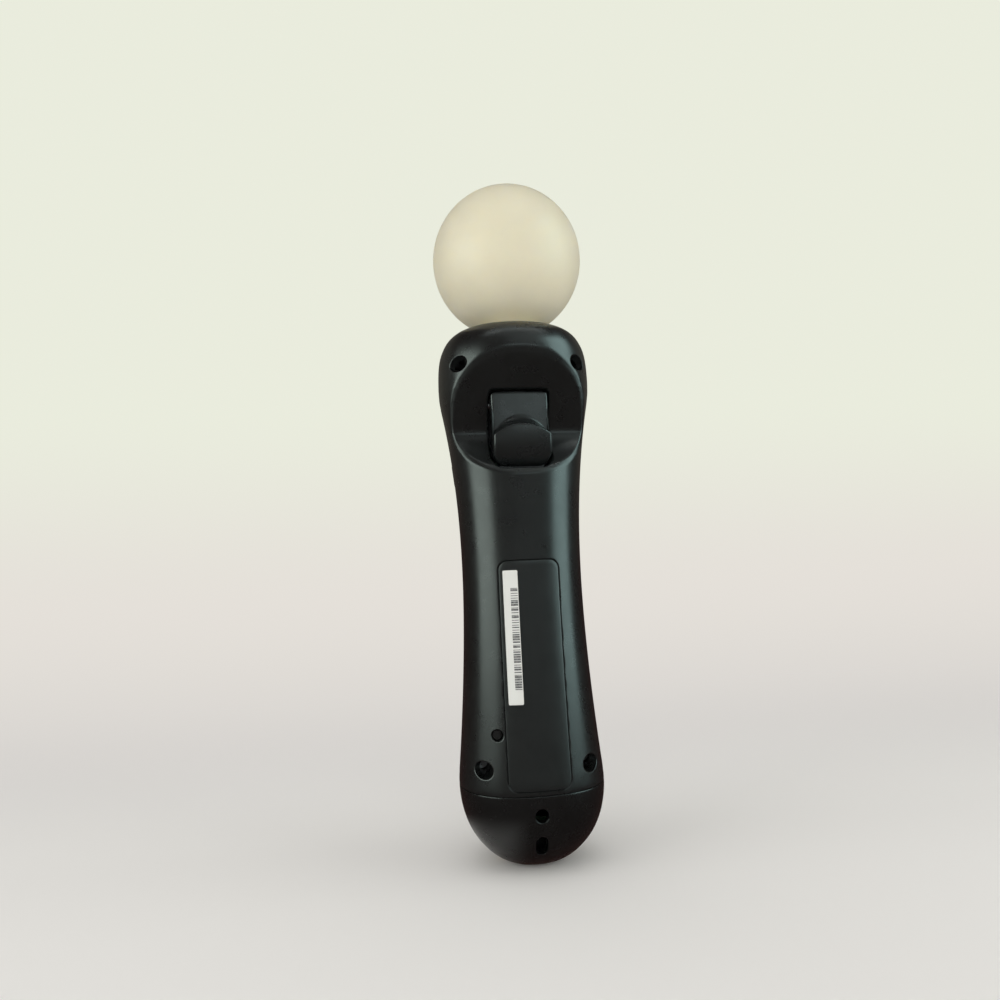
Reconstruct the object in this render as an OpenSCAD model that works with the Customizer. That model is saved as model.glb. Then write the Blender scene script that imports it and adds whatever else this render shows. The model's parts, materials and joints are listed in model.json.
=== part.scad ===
// Hand-held motion controller wand: a light ball on a waisted grip, with a
// trigger in a finger groove at the back and press buttons at the front.
// The foot's centre is the origin, +Z runs up the wand and +Y is the back.

/* [Overall] */
// Height from the foot to the top of the ball
overall_h = 200; // [185:0.5:215]
// Thickness of the casing
wall = 2; // [1.6:0.1:2.4]
// Gap between casing pieces at their seams
seam_gap = 0.1; // [0.05:0.05:0.4]

/* [Light ball] */
// Diameter of the ball
ball_d = 46; // [42:0.5:50]
// Thickness of the ball's soft skin
ball_wall = 1.8; // [1.2:0.1:2.6]
// Diameter of the ball's neck as a share of the ball's
neck_share = 0.48; // [0.46:0.002:0.5]
// Length of the neck between the ball and the crown of the casing
neck_show = 3.62; // [3.2:0.01:4.2]
// Gap round the neck where it enters the casing
neck_gap = 0.3; // [0.2:0.05:0.6]
// How far the ball's retaining flange stands out from the neck
neck_flange = 1.2; // [0.8:0.1:1.6]

/* [Casing outline] */
// How much narrower the head is than the ball
head_trim = 0.6; // [0:0.1:2]
// Height of the crown above the widest part of the head
crown_h = 20.5; // [20:0.1:22.5]
// Width of the waist as a share of the head's
waist_girth = 0.769; // [0.75:0.001:0.82]
// Height of the waist, as a share of the way from the bulb to the head
waist_share = 0.495; // [0.45:0.005:0.54]
// Width of the bulb at the lower end as a share of the head's
bulb_girth = 0.9075; // [0.88:0.0005:0.96]
// Height of the widest part of the bulb
bulb_z = 22.5; // [21.5:0.5:24]
// Depth behind the seam as a share of the half width
back_share = 0.93; // [0.9:0.01:1]
// Depth in front of the seam as a share of the half width
front_share = 0.86; // [0.84:0.01:0.95]
// How far the bulb's round end would reach below the flat foot
foot_cut = 0.8; // [0.5:0.1:1.6]
// Height of the seam between the casing halves and the bottom cap
cap_z = 21.3; // [20.6:0.1:22]

/* [Finger groove] */
// How far the groove's deepest line lies below the widest part of the head
groove_drop = 14.7; // [13.5:0.1:16]
// How far the groove's upper edge lies above the widest part of the head
groove_rise = 8.6; // [7.5:0.1:9.2]
// How far the groove's lower edge lies below the widest part of the head
groove_fall = 25.7; // [25.3:0.1:26.6]
// Depth of the groove below the head's back
groove_depth = 13.2; // [12.6:0.1:13.6]
// Rounding width of the groove's edge
groove_edge = 1.2; // [0.4:0.1:2]

/* [Trigger] */
// Width of the trigger
trigger_w = 16.8; // [15:0.1:17.6]
// How far the trigger's upper edge lies below the widest part of the head
trigger_drop = 1.1; // [0.8:0.1:1.6]
// Radius of the trigger's round chin
chin_r = 7.2; // [6.6:0.1:7.6]
// Gap beside the trigger in its opening
trigger_gap = 0.5; // [0.4:0.05:0.8]
// How far the trigger's pivot lies below the widest part of the head
pivot_drop = 4.2; // [3.8:0.1:4.8]
// Distance of the pivot behind the groove's deepest line
pivot_in = 1.1; // [0.8:0.1:1.4]
// Diameter of the trigger's pin
pin_d = 2; // [1.6:0.1:2.4]
// Running clearance round the pin
pin_gap = 0.05; // [0.02:0.01:0.1]

/* [Buttons] */
// Width of the large front button as a share of the head's
main_share = 0.278; // [0.25:0.002:0.282]
// Height of the large front button
main_h = 18; // [16:0.1:19]
// How far the large front button's centre lies below the widest part of the head
main_drop = 7.7; // [7:0.1:8.6]
// Diameter of the small round buttons as a share of the head's width
action_share = 0.145; // [0.125:0.001:0.15]
// Sideways place of the small round buttons as a share of the head's width
action_place_x = 0.282; // [0.279:0.001:0.29]
// How far the lower small round buttons lie below the widest part of the head
action_low_drop = 14.2; // [13.4:0.1:14.6]
// How far the upper small round buttons lie below the widest part of the head
action_high_drop = 1.2; // [0.8:0.1:2]
// Sideways turn of the small round buttons
action_tilt = 26; // [22:1:30]
// Diameter of the home button
home_d = 8; // [6:0.1:9]
// How far the home button lies below the widest part of the head
home_drop = 28.7; // [28:0.1:29.6]
// How far the side buttons lie below the widest part of the head
side_drop = 22.7; // [22:0.1:24]
// Distance of the side buttons in front of the seam
side_y = 4; // [3.6:0.1:4.4]
// Length of the side buttons
side_h = 7; // [5:0.1:8]
// Width of the side buttons
side_w = 3; // [2:0.1:3.4]
// How far the buttons stand out of the casing
button_proud = 1; // [0.6:0.1:1.4]
// Gap round the buttons in their holes
button_gap = 0.3; // [0.2:0.05:0.4]
// Diameter of the status light
lens_d = 2; // [1.4:0.1:3]
// How far the status light lies below the widest part of the head
lens_drop = 37.7; // [36.6:0.1:39]

/* [Fasteners] */
// Sideways place of the upper casing screws as a share of the head's width
screw_top_place = 0.379; // [0.37:0.001:0.381]
// How far the upper casing screws lie above the widest part of the head
screw_top_rise = 6.8; // [6.4:0.1:7]
// Sideways place of the lower casing screws as a share of the bulb's width
screw_low_place = 0.35; // [0.34:0.001:0.36]
// How far the lower casing screws lie above the widest part of the bulb
screw_low_rise = 5.2; // [4.8:0.1:6]
// Diameter of the screw holes in the back
screw_hole_d = 5; // [4.4:0.1:5.4]
// Diameter of the casing screws' shanks
screw_d = 1.9; // [1.6:0.1:2.2]

/* [Label] */
// Width of the label
label_w = 16.6; // [14:0.1:20]
// Distance of the label's lower edge above the bottom seam
label_rise = 1.5; // [1.3:0.1:4]
// Length of the label
label_h = 60; // [50:0.5:62]
// Thickness of the label
label_t = 0.25; // [0.15:0.05:0.5]
// Width of the bar sticker
sticker_w = 4; // [3:0.1:6]
// Length of the bar sticker
sticker_h = 35.8; // [30:0.1:37]
// Distance of the bar sticker's lower edge above the label's
sticker_rise = 21.7; // [18:0.1:23]
// Distance of the bar sticker from the side of the label
sticker_in = 1; // [0.5:0.1:2]

/* [Lower end] */
// Height of the strap hole
strap_z = 16.3; // [15.6:0.1:17]
// Diameter of the strap hole
strap_d = 3.6; // [3:0.1:4.2]
// Height of the strap slot's lower end
slot_z = 5.2; // [4.8:0.1:6]
// Height of the strap slot's upper end
slot_top = 10.6; // [9.6:0.1:11.4]
// Width of the strap slot
slot_w = 3.2; // [2.6:0.1:3.6]
// Width of the charging socket
usb_w = 7.7; // [7:0.1:8.4]
// Depth of the charging socket
usb_d = 4; // [3.6:0.1:4.4]
// Distance of the charging socket in front of the middle
usb_y = 8; // [7.6:0.1:8.6]
// Width of the extension socket's opening
ext_w = 9; // [8.6:0.1:10]
// Depth of the extension socket's opening
ext_d = 4.8; // [4.6:0.1:5]
// Sideways place of the charging contacts
contact_x = 9.5; // [9:0.1:10.5]
// Diameter of the charging contacts
contact_d = 2.8; // [2:0.1:3]
// Sideways place of the reset hole as a share of the bulb's width
reset_place = 0.257; // [0.25:0.001:0.265]
// Height of the reset hole
reset_z = 36.7; // [36:0.1:37.4]
// Diameter of the reset hole
reset_d = 3; // [2.4:0.1:3.4]

/* [Inside] */
// Room between the front of the head and the inner frame
front_room = 15.5; // [15.3:0.1:15.8]
// Thickness of the inner frame's plate
frame_t = 1.5; // [1.2:0.1:1.7]
// Thickness of the circuit boards
board_t = 1.2; // [0.8:0.1:1.4]
// Width of the battery
battery_w = 23; // [20:0.5:23.5]
// Share of the depth behind the inner frame that the battery fills
battery_fill = 0.67; // [0.55:0.01:0.69]
// Distance from the shaking motor's middle to the battery
battery_rise = 9.5; // [9.2:0.1:12]
// Distance from the battery to its plug
lead_h = 3.2; // [2.5:0.1:6]
// Diameter of the shaking motor
motor_d = 10; // [8:0.2:10.4]
// Length of the shaking motor
motor_l = 12.5; // [10:0.5:13]
// Height of the shaking motor
motor_z = 37.5; // [37.2:0.1:38.4]
// Distance of the shaking motor's middle behind the inner frame
motor_in = 6.4; // [6.35:0.05:7]
// Gap between inner pieces that rest on each other
seat_gap = 0.05; // [0.02:0.01:0.1]

/* [Hidden] */
$fn = 48;

// Casing outline: powers of its curves and the half sizes at head, waist and bulb
section_power = 2.25;
crown_power = 4.5;
dome_power = 2.2;
grip_power_low = 1.75;
grip_power_high = 2.2;
soften = 3;
neck_angle = 80;
ball_r = ball_d / 2;
ball_z = overall_h - ball_r;
neck_r = ball_r * neck_share;
crown_z = ball_z - sqrt(ball_r * ball_r - neck_r * neck_r) - neck_show;
head_z = crown_z - crown_h;
waist_z = bulb_z + (head_z - bulb_z) * waist_share;
dome_z = -foot_cut;
head_w = ball_d - head_trim;
waist_w = head_w * waist_girth;
bulb_w = head_w * bulb_girth;
width_sizes = [head_w / 2, waist_w / 2, bulb_w / 2];
back_sizes = width_sizes * back_share;
front_sizes = width_sizes * front_share;
head_back = back_sizes[0];
head_front = front_sizes[0];
bulb_back = back_sizes[2];
ring_margin = 4;

// Finger groove: bend of its floor across the wand and powers of its two slopes
groove_z = head_z - groove_drop;
groove_top = head_z + groove_rise;
groove_bottom = head_z - groove_fall;
groove_floor = head_back - groove_depth;
groove_margin = 3;
groove_bend = 0.004;
groove_power_up = 1.2;
groove_power_down = 1.6;

// Light ball
neck_depth = 6;
neck_lip = 0.3;
neck_blend_angle = 58;
flange_t = 1.8;
flange_top = crown_z - neck_depth;
neck_low = flange_top - flange_t;
base_t = 1.6;
base_step = 0.4;
base_z = neck_low - base_step - base_t;
base_rim_gap = 0.4;
cup_gap = 0.3;
cup_wall = 1.2;
cup_h = 4;
cup_top = flange_top + cup_h;
cup_r = neck_r - ball_wall - cup_gap;
led_board_in = 2.7;
led_board_r = neck_r - led_board_in;
led_board_z = base_z - seat_gap - board_t;
led_size = 5;
led_h = 1.6;
led_dome_h = 0.6;
led_hole_r = led_size * 0.8;
led_screw_in = 3;
led_screw_x = led_board_r - led_screw_in;
led_screw_r = 0.7;
led_screw_bite = 1.3;
ribbon_w = 6;
ribbon_t = 0.2;
ribbon_lap = 2;

// Small screws, and how far cutting solids run past the faces they cut
small_head_r = 1.4;
small_head_h = 0.9;
small_gap = 0.1;
cut = 1;

// Casing screws and their bosses
screw_top_x = head_w * screw_top_place;
screw_top_z = head_z + screw_top_rise;
screw_low_x = bulb_w * screw_low_place;
screw_low_z = bulb_z + screw_low_rise;
boss_wall = 0.8;
boss_r = screw_hole_d / 2 + boss_wall;
boss_step = 0.8;
boss_trim = 5;
screw_seat_y = 1.4;
screw_bite = 5;
screw_gap = 0.15;
screw_head_h = 1.5;
screw_head_gap = 0.5;
cross_w = 0.5;
cross_l = 2.2;
cross_t = 0.8;

// Label and sticker
label_z = cap_z + label_rise;
sticker_z = label_z + sticker_rise;
sticker_x = label_w / 2 - sticker_in - sticker_w / 2;
label_corner = 2.4;
sticker_t = 0.12;

// Trigger
trigger_open_w = trigger_w + 2 * trigger_gap;
trigger_top = head_z - trigger_drop;
trigger_open_rise = 0.7;
trigger_open_sill = 1.8;
trigger_open_top = trigger_top + trigger_open_rise;
trigger_open_low = groove_bottom + trigger_open_sill;
pivot_y = groove_floor + pivot_in;
pivot_z = head_z - pivot_drop;
face_in = 6;
face_y = groove_floor + face_in;
face_slope = 0.6;
face_bend = 3;
lead_in = [2.4, 0.6];
hook = [0.9, 1.1];
heel = [1, 1.4];
trigger_t = 1.4;
trigger_corner_top = 1.5;
trigger_corner_low = 5;
chin_in = 3.5;
chin_y = groove_floor + chin_in;
chin_drop = 2.1;
chin_z = groove_z - chin_drop;
ridge_angle = 50;
chin_end_angle = -50;
barrel_wall = 1.4;
barrel_r = pin_d / 2 + barrel_wall;
spring_room = 0.6;
spring_slot_r = barrel_r + spring_room;
spring_slot_w = 6.4;
spring_turns = 4;
spring_pitch = 1.1;
spring_wire_r = 0.3;
spring_gap = 0.5;
spring_r = pin_d / 2 + spring_gap + spring_wire_r;
spring_leg = 5;
spring_stub = 1.5;
ear_t = 2.2;
ear_gap = 0.3;
ear_wall = 2;
ear_r = pin_d / 2 + ear_wall;
arm_w = 4;
arm_tip_r = 1.2;
arm_drop = 1.9;
arm_z = chin_z - arm_drop;
pin_end = 0.2;
sensor_t = 0.8;
sensor_half = 6;
sensor_drop = 22.2;
sensor_h = 11;
sensor_low = head_z - sensor_drop;
pad_h = 3.65;
pad_base_r = 3.6;
pad_tip_r = 2.6;
pad_lift = 1;

// Heights of the buttons and of the status light
main_z = head_z - main_drop;
action_z = [head_z - action_low_drop, head_z - action_high_drop];
home_z = head_z - home_drop;
side_z = head_z - side_drop;
lens_z = head_z - lens_drop;
main_w = head_w * main_share;
action_d = head_w * action_share;
action_x = head_w * action_place_x;

// Inner frame and boards, all counted along Y from the seam
frame_back = front_room - head_front;
frame_front = frame_back - frame_t;
board_back = frame_front - seat_gap;
board_front = board_back - board_t;
sheet_t = 0.6;
sheet_back = board_front - seat_gap;
sheet_front = sheet_back - sheet_t;
dome_h = 1.35;
dome_base_r = 2.6;
dome_tip_r = 1.9;
dome_root = 0.1;
stem_tip = sheet_front - dome_h - seat_gap;
frame_clear = 2.2;
frame_half = inner_x(frame_front, waist_z) - frame_clear;
frame_rise = 7.9;
frame_low = bulb_z + frame_rise;
frame_over = 5.3;
frame_top = head_z + frame_over;
frame_lap = 1;
board_in = 1.4;
board_half = frame_half - board_in;
board_rise = 7.5;
board_low = bulb_z + board_rise;
board_step = 4.5;
board_step_z = side_z - board_step;
tab_r = 2.3;
sensor_back = frame_back + seat_gap + sensor_t;
arm_tip_y = sensor_back + pad_h + 2 * seat_gap + arm_tip_r;

// Buttons: stems, tabs and flanges that keep them in the casing
button_tab_t = 1;
tab_gap = 0.3;
main_tab_half = 3.5;
main_tab_reach = 1.1;
main_tab_low = main_z - main_h / 2 - main_tab_reach;
main_tab_front = front_y(main_tab_half, main_tab_low, wall) + tab_gap;
main_stem_r = 2.4;
action_flange_in = 1.5;
action_flange_depth = wall + action_flange_in;
action_flange_t = 0.7;
flange_edge = 0.5;
action_flange_r = action_d / 2 + button_gap + flange_edge;
action_tip_r = 1.4;
home_flange_t = 0.9;
home_flange_r = home_d / 2 + button_gap + flange_edge;
home_flange_front = front_y(home_flange_r, home_z - home_flange_r, wall) + tab_gap;
home_stem_r = 2;
side_tab_t = 0.7;
side_tab_gap = 0.4;
side_tab_reach = 1;
side_tab_trim = 0.2;
side_tab_x = inner_x(-side_y - side_w / 2, side_z - side_h / 2 - side_tab_reach) - side_tab_gap;
side_stem = 1.1;
side_stem_r = 1.2;
side_tip_x = side_tab_x - side_stem;
side_share = 0.6;
side_pad_t = 0.8;
side_pad_y = 1.4;
side_pad_z = 2.5;
board_head_half = side_tip_x - side_pad_t - 2 * seat_gap;
sheet_low = 1.5;
sheet_high = 4;
lens_proud = 0.1;
lens_gap = 1.2;

// Chips on the main board: places as shares of its half width and of its length below the status light
chip_big = 8;
chip_small = 5;
chip_t = 1;
chips = [
    [-0.35, 0.8, chip_big], [0.45, 0.83, chip_small], [-0.45, 0.63, chip_small], [0, 0.18, chip_small]
];
can_w = 12;
can_h = 14;
can_t = 1.8;
can_place = [0.17, 0.415];
lamp_size = 1.6;
lamp_t = 0.8;
board_screw_r = 0.75;
board_screw_in = 2;
board_screw_x = board_half - board_screw_in;
board_screw_rise = 3.5;
board_screw_drop = 2.5;
board_screw_z = [board_low + board_screw_rise, lens_z - board_screw_drop];
board_screw_root = 0.5;

// Battery and its rails
battery_gap = 0.2;
battery_z = motor_z + battery_rise;
battery_t = (back_sizes[1] - wall - frame_back) * battery_fill;
battery_corner = 3;
rail_t = 1.2;
rail_d = 4;
rail_root = 0.5;
stop_trim = 1;
lead_pitch = 2;
lead_r = 0.55;
plug_gap = 1.7;
plug_h = 4.6;
plug_half = 4;
plug_t = 8;
plug_low = sensor_low - plug_gap - plug_h;
lead_y = frame_back + plug_t - plug_half / 2;
battery_h = plug_low - lead_h - battery_z;

// Shaking motor, lying across the wand
motor_y = frame_back + motor_in;
motor_left = -5.6;
shaft_r = 0.75;
shaft_gap = 0.05;
boot_t = 1.25;
boot_trim = 1.6;
motor_nose = 0.8;
motor_nose_r = 1.8;
shaft_end = 2;
weight_flat = 1.6;
weight_r = 4.5;
weight_l = 4;
weight_gap = 1.2;
saddle_w = 8.5;
saddle_wall = 0.7;

// Lower end
foot_wall = 2.2;
lip_gap = 0.15;
lip_t = 1.2;
lip_h = 2.3;
lip_root = 3;
cap_rise = 1.5;
lip_fall = 2;
port_board_z = 11.15;
port_board_gap = 0.8;
port_board_r = -front_y(0, port_board_z, wall) - port_board_gap;
port_board_front = 1;
port_board_back = 3;
socket_lip = 0.2;
socket_cut = 8;
usb_low = 2.6;
usb_shell = 0.4;
usb_depth = 6.4;
usb_tongue_in = 1.6;
usb_tongue_t = 0.5;
usb_tongue_low = 0.6;
ext_side = 1;
ext_depth = 6;
contact_sink = 0.3;

// Reset switch and its pin
reset_x = bulb_w * reset_place;
switch_half = 1.8;
switch_gap = 0.5;
switch_t = 2.2;
switch_back = board_back + seat_gap + switch_t;
reset_sink = 1.4;
reset_gap = 0.3;
reset_stop = 2.4;
reset_stop_t = 0.8;
reset_stop_edge = 0.7;
reset_stop_r = reset_d / 2 + reset_stop_edge;
reset_lift = 0.4;

// Functions of the casing's outline
function clamp01(t) = min(1, max(0, t));
function arch(t, p) = pow(max(0, 1 - pow(clamp01(t), p)), 1 / p);
function spow(v, e) = sign(v) * pow(abs(v), e);
function raw_size(z, s, i) =
    z < bulb_z ? (s[2] - i) * arch((bulb_z - z) / (bulb_z - dome_z - i), dome_power)
    : z < waist_z ? s[1] - i + (s[2] - s[1]) * pow((waist_z - z) / (waist_z - bulb_z), grip_power_low)
    : z < head_z ? s[1] - i + (s[0] - s[1]) * pow((z - waist_z) / (head_z - waist_z), grip_power_high)
    : (s[0] - i) * arch((z - head_z) / (crown_z - head_z - i), crown_power);
function ease(z, i) = max(0, min(soften, (z - dome_z - i) / 2, (crown_z - i - z) / 2));
function half_size(z, s, i) =
    let (e = ease(z, i))
    (raw_size(z - e, s, i) + 2 * raw_size(z, s, i) + raw_size(z + e, s, i)) / 4;
function crown_height(a, i) = head_z + (crown_h - i) * pow(sin(a), 2 / crown_power);
function dome_height(a, i) = bulb_z - (bulb_z - dome_z - i) * pow(sin(a), 2 / dome_power);
function dome_angle_x(x) = acos(pow(x / (bulb_w / 2), dome_power / 2));
function dome_angle(z, i) = asin(pow((bulb_z - z) / (bulb_z - dome_z - i), dome_power / 2));

// Functions of the finger groove, cut into the back with a rounded edge
function smooth_min(a, b, k) =
    let (h = max(k - abs(a - b), 0) / k)
    min(a, b) - h * h * k / 4;
function groove_line(z) =
    z > groove_z
    ? (half_size(groove_top, back_sizes, 0) - groove_floor)
        * pow((z - groove_z) / (groove_top - groove_z), groove_power_up)
    : (half_size(groove_bottom, back_sizes, 0) - groove_floor)
        * pow((groove_z - z) / (groove_z - groove_bottom), groove_power_down);
function groove_y(x, z) = groove_floor + groove_line(z) - groove_bend * x * x;

// A point of the casing at height z and angle a, moved in by i
function ring_point(z, a, i) =
    let (
        x = half_size(z, width_sizes, i) * spow(cos(a), 2 / section_power),
        d = half_size(z, sin(a) < 0 ? front_sizes : back_sizes, i),
        y = d * spow(sin(a), 2 / section_power)
    )
    [x, y > 0 ? smooth_min(y, groove_y(x, z) - i, groove_edge) : y, z];

// The casing's surface at a sideways place, or at a depth, moved in by i
function surface_y(x, z, s, i) =
    half_size(z, s, i) * arch(abs(x) / half_size(z, width_sizes, i), section_power);
function front_y(x, z, i = 0) = -surface_y(x, z, front_sizes, i);
function back_y(x, z, i = 0) = surface_y(x, z, back_sizes, i);
function inner_x(y, z, i = wall) =
    let (d = half_size(z, y < 0 ? front_sizes : back_sizes, i))
    half_size(z, width_sizes, i) * arch(abs(y) / d, section_power);

// How far a small round button's stem runs in, and where its tip is
function action_drop(z) = stem_tip - action_tip_r - front_y(action_x, z);
function action_tip_x(z) = action_x - action_drop(z) * tan(action_tilt);

// Points along an arc, for outlines
function arc(c, r, a, b, n) = [for (k = [0:n]) let (t = a + (b - a) * k / n) c + r * [cos(t), sin(t)]];

// Joins rings of the same number of points, and the strips between loops
function strip(k, m, n) =
    let (a = k * n + m, b = k * n + (m + 1) % n)
    [[a, a + n, b + n], [a, b + n, b]];
function tube_faces(rings, n) = [for (k = [0:rings - 2]) for (m = [0:n - 1]) each strip(k, m, n)];
function flip(faces) = [for (f = faces) [f[2], f[1], f[0]]];

// Heights of the casing's rings, paired for its outer and inner surface
function crown_rings(angles) = [for (a = angles) [crown_height(a, 0), crown_height(a, wall)]];
function level(z) = [z, z];
function grip_levels(top) = [for (k = [0:12]) level(cap_z + seam_gap + (top - cap_z - seam_gap) * k / 12)];

// Half of the casing as a shell, from the bottom seam to the neck
module shell_half(start, rings, n) {
    loop = 2 * (n + 1);
    points = [for (r = rings) each concat(
        [for (j = [0:n]) ring_point(r[0], start + 180 * j / n, 0)],
        [for (j = [n:-1:0]) ring_point(r[1], start + 180 * j / n, wall)]
    )];
    rim = [for (j = [0:n - 1]) let (o = j, i = loop - 1 - j) each [[o, o + 1, i - 1], [o, i - 1, i]]];
    shift = (len(rings) - 1) * loop;
    top_rim = [for (f = flip(rim)) [f[0] + shift, f[1] + shift, f[2] + shift]];
    polyhedron(points, concat(tube_faces(len(rings), loop), rim, top_rim));
}

// A closed solid through rings of the casing's outline, each a height and an inset
module loft(levels, n) {
    rings = [for (l = levels) each [for (j = [0:n - 1]) ring_point(l[0], 360 * j / n, l[1])]];
    last = len(levels) - 1;
    low = len(rings);
    ends = [[0, 0, levels[0][0]], [0, 0, levels[last][0]]];
    lower = [for (j = [0:n - 1]) [low, j, (j + 1) % n]];
    upper = [for (j = [0:n - 1]) [low + 1, last * n + (j + 1) % n, last * n + j]];
    polyhedron(concat(rings, ends), concat(tube_faces(len(levels), n), lower, upper));
}

// The inside of the casing between two heights, for trimming bosses
module core(z0, z1, steps) {
    loft([for (k = [0:steps]) [z0 + (z1 - z0) * k / steps, wall / 2]], 48);
}

// A closed slab between two grids of points, each a list of rows
module slab(outer, inner) {
    rows = len(outer);
    cols = len(outer[0]);
    loop = 2 * cols;
    points = [for (k = [0:rows - 1]) each concat(outer[k], [for (j = [cols - 1:-1:0]) inner[k][j]])];
    rim = [for (j = [0:cols - 2]) let (o = j, i = loop - 1 - j) each [[o, o + 1, i - 1], [o, i - 1, i]]];
    shift = (rows - 1) * loop;
    top_rim = [for (f = flip(rim)) [f[0] + shift, f[1] + shift, f[2] + shift]];
    polyhedron(points, concat(tube_faces(rows, loop), rim, top_rim));
}

// A film on the back, between two offsets from the surface
module back_film(x0, x1, z0, z1, low, high, cols, rows) {
    function sheet(i) = [for (k = [0:rows]) let (z = z0 + (z1 - z0) * k / rows)
        [for (j = [0:cols]) let (x = x1 + (x0 - x1) * j / cols) [x, back_y(x, z, -i), z]]];
    slab(sheet(high), sheet(low));
}

// A block whose front follows the casing's front, standing out by proud
module front_block(x0, x1, z0, z1, proud, depth_y, cols, rows) {
    front = [for (k = [0:rows]) let (z = z0 + (z1 - z0) * k / rows)
        [for (j = [0:cols]) let (x = x0 + (x1 - x0) * j / cols) [x, front_y(x, z, -proud), z]]];
    back = [for (row = front) [for (p = row) [p[0], depth_y, p[2]]]];
    slab(front, back);
}

// Solids that lie along Y or X, and outlines drawn on a plane facing Y or X
module rod_y(x, z, y0, y1, r) {
    translate([x, y1, z]) rotate([90, 0, 0]) cylinder(h = y1 - y0, r = r);
}
module rod_x(y, z, x0, x1, r) {
    translate([x0, y, z]) rotate([0, 90, 0]) cylinder(h = x1 - x0, r = r);
}
module along_y(y0, y1) {
    translate([0, y1, 0]) rotate([90, 0, 0]) linear_extrude(y1 - y0) children();
}
module along_x(x0, x1) {
    translate([x0, 0, 0]) rotate([90, 0, 90]) linear_extrude(x1 - x0) children();
}
module box(low, high) {
    translate(low) cube(high - low);
}
module both_sides() {
    children();
    mirror([1, 0, 0]) children();
}
module stadium(w, h) {
    r = w / 2;
    for (s = [-1, 1]) translate([0, s * (h / 2 - r)]) circle(r);
    square([w, h - w], center = true);
}
module round_rect(w, h, r) {
    for (x = [-1, 1], y = [-1, 1]) translate([x * (w / 2 - r), y * (h / 2 - r)]) circle(r);
    square([w - 2 * r, h], center = true);
    square([w, h - 2 * r], center = true);
}

// Light ball and what lights it
module light_ball() {
    blend = [ball_r * cos(neck_blend_angle), ball_z - ball_r * sin(neck_blend_angle)];
    lip_z = crown_z - neck_lip;
    color("linen") rotate_extrude($fn = 96) difference() {
        union() {
            intersection() {
                translate([0, ball_z]) circle(ball_r);
                translate([0, ball_z - ball_r]) square([ball_r, 2 * ball_r]);
            }
            polygon([[0, neck_low], [neck_r, neck_low], [neck_r, lip_z], blend, [0, blend[1]]]);
            translate([0, neck_low]) square([neck_r + neck_flange, flange_t]);
        }
        intersection() {
            translate([0, ball_z]) circle(ball_r - ball_wall);
            translate([0, ball_z - ball_r]) square([ball_r, 2 * ball_r]);
        }
        translate([0, neck_low - cut]) square([neck_r - ball_wall, ball_z - neck_low]);
    }
}
module light_base() {
    steps = 48;
    edge = wall + base_rim_gap;
    rim = [for (j = [0:steps - 1]) ring_point(base_z + base_t, 360 * j / steps, edge)];
    outline = [for (p = rim) [p[0], p[1]]];
    cone_z = base_z + base_t + cut;
    color("gainsboro") difference() {
        union() {
            translate([0, 0, base_z]) linear_extrude(base_t) polygon(outline);
            translate([0, 0, base_z]) cylinder(h = neck_low - seat_gap - base_z, r = neck_r);
            translate([0, 0, base_z]) cylinder(h = cup_top - base_z, r = cup_r);
        }
        translate([0, 0, cone_z]) cylinder(h = cup_top - cone_z + cut, r1 = led_size, r2 = cup_r - cup_wall);
        translate([0, 0, base_z - cut]) cylinder(h = cup_top - base_z, r = led_hole_r);
        both_sides() translate([led_screw_x, 0, base_z - cut])
            cylinder(h = cut + led_screw_bite, r = led_screw_r + seat_gap);
    }
}
module led_board() {
    color("darkgreen") difference() {
        translate([0, 0, led_board_z]) cylinder(h = board_t, r = led_board_r);
        both_sides() translate([led_screw_x, 0, led_board_z - cut])
            cylinder(h = board_t + 2 * cut, r = led_screw_r + small_gap);
    }
}
module rgb_led() {
    base = led_board_z + board_t + seat_gap;
    color("white") {
        translate([0, 0, base + led_h / 2]) cube([led_size, led_size, led_h], center = true);
        translate([0, 0, base + led_h]) cylinder(h = led_dome_h, r = led_size / 2 - led_dome_h);
    }
}
module led_screws() {
    low = led_board_z - seat_gap - small_head_h;
    color("silver") both_sides() translate([led_screw_x, 0, low]) {
        cylinder(h = small_head_h, r = small_head_r);
        cylinder(h = small_head_h + board_t + led_screw_bite, r = led_screw_r);
    }
}
module led_ribbon() {
    half = ribbon_w / 2;
    front = board_front - seat_gap;
    color("peru")
        box([-half, front - ribbon_t, frame_top - ribbon_lap], [half, front, led_board_z - seat_gap]);
}

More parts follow.
